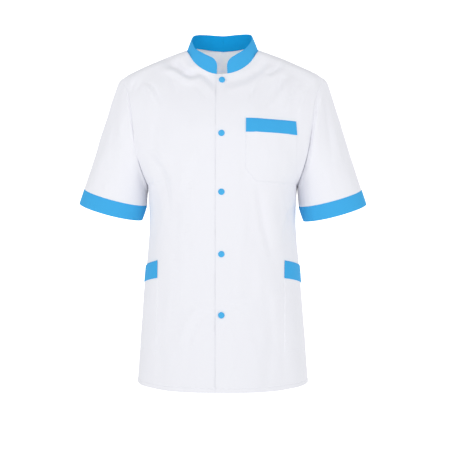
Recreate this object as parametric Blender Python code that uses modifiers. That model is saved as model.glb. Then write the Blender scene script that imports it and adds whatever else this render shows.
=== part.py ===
"""A short-sleeved medical tunic of white cloth with a stand collar, pocket bands and
cuffs of blue cloth, closed at the front by five snaps. It has the hollow shape of wear.

X runs to the wearer's left, the front faces -Y and Z points up. The origin lies midway
between the two shoulder points at the foot of the neck. All sizes are in millimetres,
and MM turns them into metres when a mesh is made.

The body of the tunic is a net of rows. Row 0 is the front hem, row 6 the underarm, row
13 the front of the neck and row 15 the shoulder seam. The rows go on down the back: 17
is the back of the neck, 24 the underarm and 30 the back hem. A row runs from the centre
or the neck (across = 0) to the side seam or the armhole (across = 1).
"""

import math

import bmesh
import bpy
import numpy as np
from mathutils import Vector

MM = 0.001

# Thickness of the walls, and the gaps between them.
CLOTH = 1.2
BAND = 1.6
CUFF = 1.8
COLLAR = 2.4
SEAM_GAP = 0.3
POCKET_LIFT = 0.4

# Rows of the body below the arms: level, half width, depth of the front, depth of the
# back, and how full the corners between them are (0.55 would be an ellipse).
BODY_ROWS = (
    (-736, 189.0, 152, 140, 0.57),
    (-640, 182.6, 149, 134, 0.59),
    (-555, 175.4, 146, 128, 0.61),
    (-466, 168.4, 143, 124, 0.62),
    (-386, 162.0, 141, 121, 0.63),
    (-340, 162.5, 140, 120, 0.63),
    (-296, 165.0, 140, 120, 0.63),
)

# The armhole from the underarm to the shoulder tip: half width, level, front depth, back depth.
ARMHOLE = (
    (165, -296, 0, 0),
    (168, -288, 24, 22),
    (174, -272, 44, 41),
    (182, -246, 58, 55),
    (190, -210, 64, 61),
    (196, -165, 63, 61),
    (201, -125, 54, 54),
    (208, -94, 38, 39),
    (216, -73, 20, 21),
    (224, -59, 0, 0),
)

# For each armhole row: depth and level at the centre, then the row's inner handle and its
# outer handle, each as half width, depth and level.
FRONT_ROWS = (
    (140, -296, 104, 140, -296, 165, 88, -296),
    (140, -288, 103, 140, -288, 162, 89, -288),
    (140, -272, 101, 140, -272, 159, 94, -272),
    (139, -246, 98, 139, -246, 157, 101, -246),
    (135, -210, 94, 135, -210, 152, 104, -210),
    (126, -165, 86, 126, -165, 148, 98, -163),
    (103, -113, 72, 103, -113, 150, 86, -112),
    (68, -57, 46, 68, -57, 152, 70, -70),
    (None, None, 96, 44, -32, 170, 34, -46),
    (None, None, 125, 0, -12, 180, 0, -36),
)
BACK_ROWS = (
    (120, -296, 104, 120, -296, 165, 76, -296),
    (120, -288, 103, 120, -288, 163, 77, -288),
    (120, -272, 102, 120, -272, 162, 82, -272),
    (120, -246, 100, 120, -246, 161, 89, -246),
    (120, -208, 98, 120, -208, 158, 94, -208),
    (117, -156, 88, 117, -156, 154, 95, -160),
    (104, -93, 74, 104, -93, 154, 88, -106),
    (66, 11, 50, 66, 11, 162, 68, -56),
    (None, None, 100, 42, -6, 172, 36, -42),
    (None, None, 125, 0, -12, 180, 0, -36),
)
NECK_ROW = 13
SHOULDER_ROW = 15
LAST_ROW = 30
UNDERARM_ROW = 6

# The neck seam.
NECK_HALF_WIDTH = 79
NECK_FRONT_DEPTH = 68
NECK_BACK_DEPTH = 66
NECK_DROP = 57
NECK_DROP_POWER = 1.5
NECK_BACK_RISE = 11

# The stand collar.
COLLAR_TOP_HALF_WIDTH = 63
COLLAR_TOP_FRONT = 61
COLLAR_TOP_BACK = 60
COLLAR_RISE_FRONT = 34
COLLAR_RISE_BACK = 36
COLLAR_END_ANGLE = 8.4
COLLAR_CORNER = 12
COLLAR_HEIGHTS = (0, 0.4, 0.66, 0.85, 1)

# The cuff's hem. The arm leans out from the vertical, and the cuff rises to its outer
# side and dips to its front.
CUFF_CENTRE = (249, 4, -352)
CUFF_HALF_WIDTH = 72.5
CUFF_HALF_DEPTH = 63
CUFF_HEIGHT = 30.5
ARM_SLANT = math.radians(18.5)
CUFF_RISE = math.radians(13.5)
CUFF_DIP = math.radians(8)
CAP_ROLL = 5.5
CAP_REACH = 8
SLEEVE_STEPS = (0, 0.035, 0.09, 0.18, 0.32, 0.48, 0.65, 0.82, 1)
CUFF_STEPS = (0, 0.5, 1)

# The front closure.
LAP = 14.5
LAP_STEP = 1.9
LAP_FADE = (60, 17)

# The chest pocket on the wearer's left. The slant is how far it drops on its way outwards.
POCKET_INNER = 51.5
POCKET_OUTER = 161
POCKET_TOP = -160
POCKET_SEAM = -187
POCKET_FOOT = -296
POCKET_BEVEL_LEVEL = -272
POCKET_SLANT = 5

# The side pockets: the slant is how far the top drops on its way to the side seam.
SIDE_POCKET_INNER = 136
SIDE_POCKET_TOP = -458
SIDE_POCKET_SEAM = -495
SIDE_POCKET_FOOT = -653
SIDE_POCKET_SLANT = 12
SLANT_LEVELS = (-620, -520, -440, -380)

# Snaps.
SNAP_LEVELS = (-72, -190, -314, -445, -573)
SNAP_RADIUS = 6.8
SNAP_EDGE = 1.1
SNAP_CROWN = 2.2
SNAP_BACK_RADIUS = 5.5
SNAP_BACK_HEIGHT = 1.4
SNAP_SIDES = 14

# Stations of the net.
FRONT_LINES = (0, 17, 34, POCKET_INNER, 62, 73, 94, 115, SIDE_POCKET_INNER, 150, POCKET_OUTER)
SIDE_STEPS = 5
BACK_LINES = (0, 22, 44, 66, 88, 110, 130, 148)
BACK_SIDE_STEPS = 5
LEVELS = (
    -736, -706, -680, SIDE_POCKET_FOOT, -620, -586, -552, -522, SIDE_POCKET_SEAM,
    SIDE_POCKET_TOP, -425, -392, -360, -328,
)
CHEST_LEVELS = (POCKET_FOOT, -285, POCKET_BEVEL_LEVEL, -246, -228, -208, POCKET_SEAM, POCKET_TOP)
YOKE_ROWS = (11.6, 12.1, 12.55)
NECK_ANGLES = (0, COLLAR_END_ANGLE, 20, 33, 46, 58, 69, 80, 90)
FREE_LINES_FROM = 11.3
ROW_SAMPLES = 81
CENTRE_SAMPLES = 301

# Large folds of the front, as seen from the front: start, middle and end as half width
# (negative on the wearer's right) and level, then the width and the height (a trough is negative).
FRONT_FOLDS = (
    (71, -300, 80, -373, 103, -458, 15, -3.6),
    (97, -305, 108, -380, 128, -450, 15, 2.6),
    (139, -350, 135, -409, 139, -447, 13, -2.6),
    (-160, -246, -122, -262, -107, -350, 14, -3.8),
    (-137, -278, -139, -330, -136, -384, 12, -2.8),
    (-113, -27, -69, -62, -20, -84, 10, -3.0),
)
# Large folds of the back, as half width and level, in the same columns.
BACK_FOLDS = (
    (150, -250, 112, -290, 100, -400, 16, -4.0),
    (-146, -255, -118, -300, -104, -380, 16, -3.6),
    (40, -420, 52, -520, 46, -640, 20, -3.0),
    (-60, -380, -66, -480, -74, -620, 20, -3.2),
    (0, -330, -6, -450, -4, -600, 18, 2.6),
)
FOLD_STEPS = 25
FOLD_END_SHARE = 0.12
FOLD_FADE_POWER = 0.8
# The folds die out over this share of a row's width at the seam, and over these rows at the shoulder.
SEAM_FADE = 0.14
SHOULDER_FADE = 1.2

# Waves of the hem: how many go round it, how uneven their spacing is, their height, and
# the level where they begin.
HEM_WAVES = 7
HEM_WAVE_UNEVEN = 1.9
HEM_WAVE_HEIGHT = 2.4
HEM_WAVE_FROM = -470

WHITE = (0.87, 0.88, 0.91, 1)
BLUE = (0.055, 0.41, 0.80, 1)


def ease(value):
    """A smooth step from 0 to 1."""
    value = np.clip(value, 0, 1)
    return value * value * (3 - 2 * value)


def through(knots, values, at):
    """The smooth curve through values at knots, read at each place in at."""
    knots = np.asarray(knots, float)
    values = np.asarray(values, float)
    gap = np.diff(knots)
    slope = np.diff(values, axis=0) / gap[:, None]
    middle = (gap[1:, None] * slope[:-1] + gap[:-1, None] * slope[1:]) / (gap[1:] + gap[:-1])[:, None]
    tangent = np.concatenate([slope[:1], middle, slope[-1:]])
    at = np.clip(at, knots[0], knots[-1])
    k = np.clip(np.searchsorted(knots, at, side="right") - 1, 0, len(knots) - 2)
    h = gap[k][..., None]
    t = ((at - knots[k]) / gap[k])[..., None]
    start = (2 * t**3 - 3 * t**2 + 1) * values[k] + (t**3 - 2 * t**2 + t) * h * tangent[k]
    end = (3 * t**2 - 2 * t**3) * values[k + 1] + (t**3 - t**2) * h * tangent[k + 1]
    return start + end


def body_net():
    """Distances along the net and the four control points of each row, from front hem to back hem."""
    sides = []
    for sign, column, chest in ((-1, 2, FRONT_ROWS), (1, 3, BACK_ROWS)):
        rows = []
        for row in BODY_ROWS:
            level, wide, deep, full = row[0], row[1], row[column], row[4]
            rows.append((
                (0, sign * deep, level),
                (full * wide, sign * deep, level),
                (wide, sign * full * deep, level),
                (wide, 0, level),
            ))
        for edge, row in list(zip(ARMHOLE, chest))[1:]:
            deep, level, x1, y1, z1, x2, y2, z2 = row
            centre = (NECK_HALF_WIDTH, 0, 0) if deep is None else (0, sign * deep, level)
            outer = (edge[0], sign * edge[column], edge[1])
            rows.append((centre, (x1, sign * y1, z1), (x2, sign * y2, z2), outer))
        sides.append(np.array(rows, float))
    net = np.concatenate([sides[0], sides[1][::-1][1:]])
    steps = np.linalg.norm(np.diff(net[:, 3], axis=0), axis=1)
    return np.concatenate([[0], np.cumsum(steps)]), net


ALONG, NET = body_net()


def along(row):
    """The distance along the net of a row number."""
    return np.interp(row, np.arange(len(ALONG)), ALONG)


def row_at(level, back=False):
    """The row number whose outer end lies at a level, below the yoke."""
    levels = [row[0] for row in BODY_ROWS] + [row[1] for row in ARMHOLE[1:]]
    row = np.interp(level, levels, np.arange(len(levels)))
    return LAST_ROW - row if back else row


def neck_angle(row):
    """Angle round the neck: 0 at the front, 90 at the shoulder, 180 at the back, in degrees."""
    front, top, back = along(NECK_ROW), along(SHOULDER_ROW), along(LAST_ROW - NECK_ROW)
    return np.interp(along(row), (front, top, back), (0, 90, 180))


def row_at_angle(angle):
    """The row number that meets the neck at an angle."""
    front, top, back = along(NECK_ROW), along(SHOULDER_ROW), along(LAST_ROW - NECK_ROW)
    return np.interp(np.interp(angle, (0, 90, 180), (front, top, back)), ALONG, np.arange(len(ALONG)))


def neck(angle):
    """A point of the neck seam."""
    turn = np.radians(angle)
    side, ahead = np.sin(turn), np.cos(turn)
    front = np.clip(ahead, 0, 1)
    back = np.clip(-ahead, 0, 1)
    return np.stack([
        NECK_HALF_WIDTH * side,
        NECK_BACK_DEPTH * back - NECK_FRONT_DEPTH * front,
        NECK_BACK_RISE * back - NECK_DROP * front**NECK_DROP_POWER,
    ], axis=-1)


def centre_line(row):
    """The inner end of a row: on the centre line, or on the neck seam."""
    back = LAST_ROW - NECK_ROW
    below = through(ALONG[: NECK_ROW + 1], NET[: NECK_ROW + 1, 0], along(np.minimum(row, NECK_ROW)))
    behind = through(ALONG[back:], NET[back:, 0], along(np.maximum(row, back)))
    middle = np.where((row > SHOULDER_ROW)[..., None], behind, below)
    return np.where(((row > NECK_ROW) & (row < back))[..., None], neck(neck_angle(row)), middle)


def armhole(row):
    """A point of the armhole seam, a smooth loop through the underarm."""
    first, last = UNDERARM_ROW, LAST_ROW - UNDERARM_ROW
    before = ALONG[first] - (ALONG[last] - ALONG[last - 1])
    after = ALONG[last] + (ALONG[first + 1] - ALONG[first])
    knots = np.concatenate([[before], ALONG[first : last + 1], [after]])
    points = np.concatenate([NET[last - 1 : last, 3], NET[first : last + 1, 3], NET[first + 1 : first + 2, 3]])
    return through(knots, points, along(row))


def outer_line(row):
    """The outer end of a row: on the side seam, or on the armhole."""
    arm = armhole(np.clip(row, UNDERARM_ROW, LAST_ROW - UNDERARM_ROW))
    front = through(ALONG[: UNDERARM_ROW + 1], NET[: UNDERARM_ROW + 1, 3], along(np.minimum(row, UNDERARM_ROW)))
    back_from = LAST_ROW - UNDERARM_ROW
    back = through(ALONG[back_from:], NET[back_from:, 3], along(np.maximum(row, back_from)))
    return np.where((row < UNDERARM_ROW)[..., None], front, np.where((row > back_from)[..., None], back, arm))


def body_point(row, across):
    """A point of the plain body, before its folds."""
    a, d = centre_line(row), outer_line(row)
    b, c = through(ALONG, NET[:, 1], along(row)), through(ALONG, NET[:, 2], along(row))
    t = across[..., None]
    return (1 - t) ** 3 * a + 3 * t * (1 - t) ** 2 * b + 3 * t**2 * (1 - t) * c + t**3 * d


def unit(vectors):
    return vectors / np.maximum(np.linalg.norm(vectors, axis=-1, keepdims=True), 1e-9)


def body_normal(row, across):
    """The outward direction of the plain body."""
    ahead, behind = np.minimum(row + 0.02, LAST_ROW), np.maximum(row - 0.02, 0)
    up = body_point(ahead, across) - body_point(behind, across)
    out = body_point(row, across + 0.01) - body_point(row, across - 0.01)
    return unit(np.cross(out, up))


def across_at(row, x):
    """Where a row is x from the centre."""
    samples = np.linspace(0, 1, ROW_SAMPLES)
    found = body_point(np.full_like(samples, row), samples)[:, 0]
    return float(np.interp(x, found, samples))


def across_stations(row, lines, side_steps, chest_row):
    """The places of the net's columns along one row."""
    straight = np.array([across_at(row, x) for x in lines])
    free = np.array([across_at(chest_row, x) for x in lines])
    depth = min(row, LAST_ROW - row)
    loose = ease((depth - FREE_LINES_FROM) / (NECK_ROW - FREE_LINES_FROM))
    inner = straight * (1 - loose) + free * loose
    rest = inner[-1] + (1 - inner[-1]) * np.arange(1, side_steps + 1) / side_steps
    return np.concatenate([inner, rest])


def fold_height(table, x, z):
    """Height of the folds in a table at places on the cloth."""
    total = np.zeros_like(x)
    bend = np.linspace(0, 1, FOLD_STEPS)
    for x0, z0, x1, z1, x2, z2, width, height in table:
        px = (1 - bend) ** 2 * x0 + 2 * bend * (1 - bend) * x1 + bend**2 * x2
        pz = (1 - bend) ** 2 * z0 + 2 * bend * (1 - bend) * z1 + bend**2 * z2
        apart = (x[..., None] - px) ** 2 + (z[..., None] - pz) ** 2
        nearest = apart.argmin(-1)
        place = FOLD_END_SHARE + (1 - 2 * FOLD_END_SHARE) * bend[nearest]
        fade = np.sin(np.pi * place) ** FOLD_FADE_POWER
        total += height * fade * np.exp(-apart.min(-1) / width**2)
    return total


def cloth_height(row, across, sign):
    """How far the worn cloth stands off the plain body, nothing at the upper seams."""
    p = body_point(row, across)
    x, z = sign * p[..., 0], p[..., 2]
    front, back = fold_height(FRONT_FOLDS, x, z), fold_height(BACK_FOLDS, x, z)
    folds = np.where(row < SHOULDER_ROW, front, back)
    edge = ease((1 - across) / SEAM_FADE) * ease(np.abs(row - SHOULDER_ROW) / SHOULDER_FADE)
    turn = np.arctan2(p[..., 1], x)
    wave = HEM_WAVE_HEIGHT * np.sin(HEM_WAVES * turn + HEM_WAVE_UNEVEN * np.sin(2 * turn))
    closure = np.where(row < SHOULDER_ROW, ease(np.abs(x) / LAP_FADE[0]), 1)
    drop = ease((HEM_WAVE_FROM - z) / (HEM_WAVE_FROM - BODY_ROWS[0][0]))
    return folds * edge + wave * closure * drop


def body_cloth(row, across, sign, sink=0):
    """Outer points and outward directions of the worn cloth, on the side that sign gives."""
    height = cloth_height(row, across, sign) - sink
    normal = body_normal(row, across)
    point = body_point(row, across) + height[..., None] * normal
    point[..., 0] *= sign
    normal[..., 0] *= sign
    return point, normal


def lap_sink(x):
    """How far the front that laps under stands behind the one on top, x from the centre."""
    start, full = LAP_FADE
    return LAP_STEP * ease((start - x) / (start - full))


def pull_back(points, edge, inward):
    """Moves edge points of a grid half a seam gap towards their neighbours."""
    points[edge] += SEAM_GAP / 2 * unit(points[inward] - points[edge])


def grid_triangles(cells, cuts=()):
    """Two triangles for each kept cell, or one where a cell in cuts loses its lower corner."""
    found = []
    for i, j in np.argwhere(cells):
        a, b, c, d = (i, j), (i + 1, j), (i + 1, j + 1), (i, j + 1)
        if (i, j, "first") in cuts:
            found += [(b, c, d)]
        elif (i, j, "last") in cuts:
            found += [(a, b, c)]
        else:
            found += [(a, b, c), (a, c, d)]
    return found


def make_wall(name, outer, inner, triangles, finish, collection):
    """One closed wall between two grids of points, with a rim wherever the triangles end."""
    mesh = bmesh.new()
    places = sorted({place for triangle in triangles for place in triangle})
    skins = [{place: mesh.verts.new(points[place] * MM) for place in places} for points in (outer, inner)]
    edges = set()
    for triangle in triangles:
        mesh.faces.new([skins[0][place] for place in triangle])
        mesh.faces.new([skins[1][place] for place in reversed(triangle)])
        edges |= {(triangle[k], triangle[(k + 1) % 3]) for k in range(3)}
    for a, b in sorted(edges):
        if (b, a) not in edges:
            mesh.faces.new([skins[0][b], skins[0][a], skins[1][a]])
            mesh.faces.new([skins[0][b], skins[1][a], skins[1][b]])
    bmesh.ops.recalc_face_normals(mesh, faces=mesh.faces)
    return add_piece(name, mesh, finish, collection)


def add_piece(name, mesh, finish, collection):
    data = bpy.data.meshes.new(name)
    mesh.to_mesh(data)
    mesh.free()
    data.materials.append(finish)
    piece = bpy.data.objects.new(name, data)
    collection.objects.link(piece)
    return piece


def make_finish(name, colour, roughness):
    made = bpy.data.materials.new(name)
    made.use_nodes = True
    shader = made.node_tree.nodes["Principled BSDF"]
    shader.inputs["Base Color"].default_value = colour
    shader.inputs["Roughness"].default_value = roughness
    shader.inputs["Metallic"].default_value = 0
    made.diffuse_color = colour
    return made


def slant_share(levels):
    """How much of the side pocket's slant the cloth's rows take at each level."""
    return np.interp(levels, SLANT_LEVELS, (0, 1, 1, 0))


def net_rows(back=False):
    """Row numbers of the net's stations, from the hem to the shoulder seam."""
    rows = [row_at(level) for level in LEVELS + CHEST_LEVELS] + list(YOKE_ROWS)
    rows = rows + [row_at_angle(angle) for angle in NECK_ANGLES]
    if back:
        rows[: len(LEVELS)] = [row_at(level - SIDE_POCKET_SLANT * slant_share(level)) for level in LEVELS]
    return [LAST_ROW - row for row in rows] if back else rows


def front_cloth(side, under):
    """Outer points and directions of one front. Column 0 is the edge of the lap."""
    rows, chest = net_rows(), row_at(POCKET_TOP)
    across = np.array([across_stations(row, FRONT_LINES, SIDE_STEPS, chest) for row in rows])
    lap = np.array([[across_at(min(row, NECK_ROW), LAP)] for row in rows])
    across = np.concatenate([lap, across], axis=1)
    row = np.repeat(np.array(rows)[:, None], across.shape[1], axis=1)
    start = across[:, 1 + FRONT_LINES.index(SIDE_POCKET_INNER)]
    for i, level in enumerate(LEVELS):
        reach = np.clip((across[i] - start[i]) / (1 - start[i]), 0, 1)
        row[i] = row_at(level - SIDE_POCKET_SLANT * slant_share(level) * reach)
    for i, level in enumerate(CHEST_LEVELS, start=len(LEVELS)):
        corners = [across[i, 1 + FRONT_LINES.index(x)] for x in (POCKET_INNER, POCKET_OUTER)]
        row[i] = row_at(level - POCKET_SLANT * np.interp(across[i], (*corners, 1), (0, 1, 0)))
    sign = np.full(across.shape, side)
    sign[:, 0] = -side
    x = body_point(row, across)[..., 0]
    x[:, 0] = 0
    return body_cloth(row, across, sign, lap_sink(x) if under else 0)


def pull_back_seams(points, first):
    """Opens the neck, side and shoulder seams of one half, whose innermost column is first."""
    rows, columns = points.shape[:2]
    for i in range(rows - len(NECK_ANGLES) + 1, rows):
        pull_back(points, (i, first), (i, first + 1))
    for i in range(rows):
        pull_back(points, (i, columns - 1), (i, columns - 2))
    for j in range(first, columns):
        pull_back(points, (rows - 1, j), (rows - 2, j))


def make_front(name, side, under, finish, collection):
    """One front with its lap at the centre. Returns its points, which the pockets lie on."""
    outer, out = front_cloth(side, under)
    panel = outer.copy()
    pull_back_seams(panel, 1)
    cells = np.ones((outer.shape[0] - 1, outer.shape[1] - 1), bool)
    cells[-len(NECK_ANGLES) + 1 :, 0] = False
    make_wall(name, panel, panel - CLOTH * out, grid_triangles(cells), finish, collection)
    return outer, out


def make_back(name, finish, collection):
    """The whole back in one piece, its two halves joined up to the neck."""
    rows, chest = net_rows(back=True), row_at(POCKET_TOP, back=True)
    across = np.array([across_stations(row, BACK_LINES, BACK_SIDE_STEPS, chest) for row in rows])
    row = np.repeat(np.array(rows)[:, None], across.shape[1], axis=1)
    outers, inners = [], []
    for sign in (-1, 1):
        outer, out = body_cloth(row, across, np.full(across.shape, sign))
        pull_back_seams(outer, 0)
        outers.append(outer[:, ::sign])
        inners.append((outer - CLOTH * out)[:, ::sign])
    outer, inner = np.concatenate(outers, axis=1), np.concatenate(inners, axis=1)
    centre = across.shape[1] - 1
    cells = np.ones((outer.shape[0] - 1, outer.shape[1] - 1), bool)
    cells[:, centre] = False
    neck_from = len(rows) - len(NECK_ANGLES)
    triangles = []
    for triangle in grid_triangles(cells):
        triangles.append(tuple((i, j + (j == centre and i <= neck_from)) for i, j in triangle))
    make_wall(name, outer, inner, triangles, finish, collection)


def make_patch(name, cloth, rows, columns, thick, seam, finish, collection, bevelled=False):
    """A pocket or band on a panel, made from the panel's own points moved out. seam says
    whether the seam between the two is at the patch's first or last row."""
    points, out = cloth
    place = np.ix_(rows, columns)
    inner = points[place] + POCKET_LIFT * out[place]
    outer = points[place] + (POCKET_LIFT + thick) * out[place]
    end, next_to_end = (0, 1) if seam == "first" else (-1, -2)
    for skin in (inner, outer):
        for j in range(len(columns)):
            pull_back(skin, (end, j), (next_to_end, j))
    cells = np.ones((len(rows) - 1, len(columns) - 1), bool)
    cuts = ()
    if bevelled:
        end = len(columns) - 2
        cells[0, [0, end]] = False
        cuts = ((0, 1, "first"), (1, 0, "first"), (0, end - 1, "last"), (1, end, "last"))
    make_wall(name, outer, inner, grid_triangles(cells, cuts), finish, collection)


def arm_axes():
    """The cuff's own directions: across to its outer side, to its front, and down the arm."""
    slant = np.array([math.cos(CUFF_RISE), 0, math.sin(CUFF_RISE)])
    ahead = np.array([0, -math.cos(CUFF_DIP), -math.sin(CUFF_DIP)])
    down = np.array([math.sin(ARM_SLANT), 0, -math.cos(ARM_SLANT)])
    return slant, ahead, down


def arm_turn(row):
    """Angle round the sleeve in radians: 0 at the underarm, a quarter turn at the front."""
    ends = along(np.array([UNDERARM_ROW, SHOULDER_ROW, LAST_ROW - UNDERARM_ROW]))
    return np.interp(along(row), ends, (0, math.pi, 2 * math.pi))


def cuff_point(row, down):
    """A point of the cuff: down is 0 at its seam and 1 at its hem."""
    slant, ahead, arm = arm_axes()
    turn = arm_turn(row)[..., None]
    ring = CUFF_HALF_DEPTH * np.sin(turn) * ahead - CUFF_HALF_WIDTH * np.cos(turn) * slant
    return np.array(CUFF_CENTRE) + ring - CUFF_HEIGHT * (1 - down)[..., None] * arm


def sleeve_point(row, down):
    """A point of the sleeve: down is 0 at the armhole and 1 at the cuff's seam."""
    top = armhole(row)
    foot = cuff_point(row, np.zeros(row.shape))
    slant, ahead, _ = arm_axes()
    turn = arm_turn(row)[..., None]
    outward = np.sin(turn) * ahead - np.cos(turn) * slant
    length = np.linalg.norm(foot - top, axis=-1, keepdims=True)
    t = down[..., None]
    roll = CAP_ROLL * (1 - np.exp(-t * length / CAP_REACH)) * (1 - t) * (1 - np.cos(turn)) / 2
    return top * (1 - t) + foot * t + roll * outward


def tube_normal(surface, row, down):
    """The outward direction of a sleeve or cuff."""
    first, last = UNDERARM_ROW, LAST_ROW - UNDERARM_ROW
    around = surface(np.minimum(row + 0.03, last), down) - surface(np.maximum(row - 0.03, first), down)
    along_arm = surface(row, down + 0.01) - surface(row, down - 0.01)
    return unit(np.cross(along_arm, around))


def arm_rows():
    """Row numbers round the armhole, from the underarm over the shoulder and back."""
    front = [row for row in net_rows() if row >= UNDERARM_ROW]
    return np.array(front + [LAST_ROW - row for row in front[-2::-1]])


def make_tube(name, surface, steps, side, thick, finish, collection):
    """An open tube round the arm. Its ends are drawn back from the seams, but not from the hem."""
    rows = arm_rows()
    row, step = np.meshgrid(rows, np.array(steps, float), indexing="ij")
    outer, out = surface(row, step), tube_normal(surface, row, step)
    meeting = unit(out[0] + out[-1])
    out[0] = out[-1] = meeting
    outer[:, 0] += SEAM_GAP / 2 * unit(outer[:, 1] - outer[:, 0])
    if surface is sleeve_point:
        outer[:, -1] += SEAM_GAP / 2 * unit(outer[:, -2] - outer[:, -1])
    flip = np.array([side, 1, 1])
    inner = (outer - thick * out) * flip
    outer = outer * flip
    cells = np.ones((len(rows) - 1, len(steps) - 1), bool)
    last = len(rows) - 1
    triangles = [tuple((i % last, j) for i, j in triangle) for triangle in grid_triangles(cells)]
    make_wall(name, outer, inner, triangles, finish, collection)


def collar_point(angle, height, side):
    """A point of the collar: height is 0 at the neck seam and 1 at the top edge."""
    turn = np.radians(angle)
    ahead, behind = np.clip(np.cos(turn), 0, 1), np.clip(-np.cos(turn), 0, 1)
    foot = neck(angle)
    top = np.stack([
        COLLAR_TOP_HALF_WIDTH * np.sin(turn),
        COLLAR_TOP_BACK * behind - COLLAR_TOP_FRONT * ahead,
        foot[..., 2] + COLLAR_RISE_BACK + (COLLAR_RISE_FRONT - COLLAR_RISE_BACK) * ahead,
    ], axis=-1)
    sink = lap_sink(foot[..., 0]) * (angle < 90) * (side < 0)
    t = height[..., None]
    point = foot * (1 - t) + top * t
    point[..., 1] += sink
    return point * np.array([side, 1, 1])


def make_collar(name, finish, collection):
    """The stand collar from one front end round the neck to the other."""
    angles = np.array([*NECK_ANGLES[1:], *(180 - angle for angle in NECK_ANGLES[-2::-1])])
    heights = np.array(COLLAR_HEIGHTS)
    angle, height = np.meshgrid(angles, heights, indexing="ij")
    over = np.maximum(COLLAR_RISE_FRONT * heights - COLLAR_RISE_FRONT + COLLAR_CORNER, 0)
    inset = COLLAR_CORNER - np.sqrt(COLLAR_CORNER**2 - over**2)
    angle[0] += np.degrees(inset / NECK_HALF_WIDTH)
    ahead = collar_point(angle + 0.5, height, 1) - collar_point(angle - 0.5, height, 1)
    up = collar_point(angle, height + 0.02, 1) - collar_point(angle, height - 0.02, 1)
    out = unit(np.cross(ahead, up))
    outers, inners = [], []
    for side in (-1, 1):
        outer = collar_point(angle, height, side)
        outer[:, 0] += SEAM_GAP / 2 * unit(outer[:, 1] - outer[:, 0])
        inner = outer - COLLAR * out * np.array([side, 1, 1])
        outers.append(outer[::-side][side > 0 :])
        inners.append(inner[::-side][side > 0 :])
    outer, inner = np.concatenate(outers), np.concatenate(inners)
    cells = np.ones((outer.shape[0] - 1, outer.shape[1] - 1), bool)
    make_wall(name, outer, inner, grid_triangles(cells), finish, collection)


def closure_place(level, depth):
    """A point of the centre front at a level, set back by depth, and the outward direction there."""
    rows = np.linspace(0, NECK_ROW, CENTRE_SAMPLES)
    row = np.interp(level, centre_line(rows)[:, 2], rows)
    point, out = body_cloth(np.array([row]), np.array([0.0]), np.array([1]), depth)
    return point[0], out[0]


def make_button(name, profile, point, out, finish, collection):
    """A turned snap part that stands on point and faces out."""
    mesh = bmesh.new()
    corners = [mesh.verts.new((radius * MM, 0, height * MM)) for radius, height in profile]
    for upper, lower in zip(corners, corners[1:]):
        mesh.edges.new((upper, lower))
    piece = add_piece(name, mesh, finish, collection)
    turn = piece.modifiers.new("Turned", "SCREW")
    turn.steps = turn.render_steps = SNAP_SIDES
    turn.use_merge_vertices = True
    turn.merge_threshold = 0.0001
    piece.location = Vector(point * MM)
    piece.rotation_euler = Vector(out).to_track_quat("Z", "Y").to_euler()


def make_snaps(finish, collection):
    cap = (
        (0, SNAP_CROWN),
        (0.5 * SNAP_RADIUS, 0.85 * SNAP_CROWN),
        (0.86 * SNAP_RADIUS, SNAP_EDGE),
        (SNAP_RADIUS, 0.5 * SNAP_EDGE),
        (SNAP_RADIUS, 0),
        (0, 0),
    )
    stud = ((0, SNAP_BACK_HEIGHT), (SNAP_BACK_RADIUS, SNAP_BACK_HEIGHT), (SNAP_BACK_RADIUS, 0), (0, 0))
    for number, level in enumerate(SNAP_LEVELS, start=1):
        point, out = closure_place(level, -1.5 * SEAM_GAP)
        make_button(f"snap_{number}", cap, point, out, finish, collection)
        point, out = closure_place(level, LAP_STEP + CLOTH + 2 * SEAM_GAP)
        make_button(f"snap_back_{number}", stud, point, -out, finish, collection)


def make_side_pocket(name, cloth, white, blue, collection):
    """The patch pocket and its band at one side seam."""
    rows = {level: k for k, level in enumerate(LEVELS)}
    first = 1 + FRONT_LINES.index(SIDE_POCKET_INNER)
    columns = list(range(first, cloth[0].shape[1]))
    foot, seam, top = rows[SIDE_POCKET_FOOT], rows[SIDE_POCKET_SEAM], rows[SIDE_POCKET_TOP]
    bag = list(range(foot, seam + 1))
    band = list(range(seam, top + 1))
    make_patch(f"side_pocket_{name}", cloth, bag, columns, CLOTH, "last", white, collection)
    make_patch(f"side_pocket_band_{name}", cloth, band, columns, BAND, "first", blue, collection)


def make_chest_pocket(cloth, white, blue, collection):
    """The patch pocket with bevelled lower corners on the wearer's left, and its band."""
    rows = {level: len(LEVELS) + k for k, level in enumerate(CHEST_LEVELS)}
    first, last = FRONT_LINES.index(POCKET_INNER) + 1, FRONT_LINES.index(POCKET_OUTER) + 1
    columns = list(range(first, last + 1))
    foot, seam, top = rows[POCKET_FOOT], rows[POCKET_SEAM], rows[POCKET_TOP]
    bag = list(range(foot, seam + 1))
    band = [seam, top]
    make_patch("chest_pocket", cloth, bag, columns, CLOTH, "last", white, collection, bevelled=True)
    make_patch("chest_pocket_band", cloth, band, columns, BAND, "first", blue, collection)


def make_tunic():
    collection = bpy.data.collections.new("medical_tunic")
    bpy.context.scene.collection.children.link(collection)
    white = make_finish("white_cloth", WHITE, 0.85)
    blue = make_finish("blue_cloth", BLUE, 0.8)
    plastic = make_finish("blue_snap", BLUE, 0.35)
    make_back("back", white, collection)
    for side, name in ((1, "left"), (-1, "right")):
        cloth = make_front(f"front_{name}", side, side < 0, white, collection)
        make_side_pocket(name, cloth, white, blue, collection)
        if side > 0:
            make_chest_pocket(cloth, white, blue, collection)
        make_tube(f"sleeve_{name}", sleeve_point, SLEEVE_STEPS, side, CLOTH, white, collection)
        make_tube(f"cuff_{name}", cuff_point, CUFF_STEPS, side, CUFF, blue, collection)
    make_collar("collar", blue, collection)
    make_snaps(plastic, collection)


for old in list(bpy.data.objects):
    bpy.data.objects.remove(old)
make_tunic()
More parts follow.
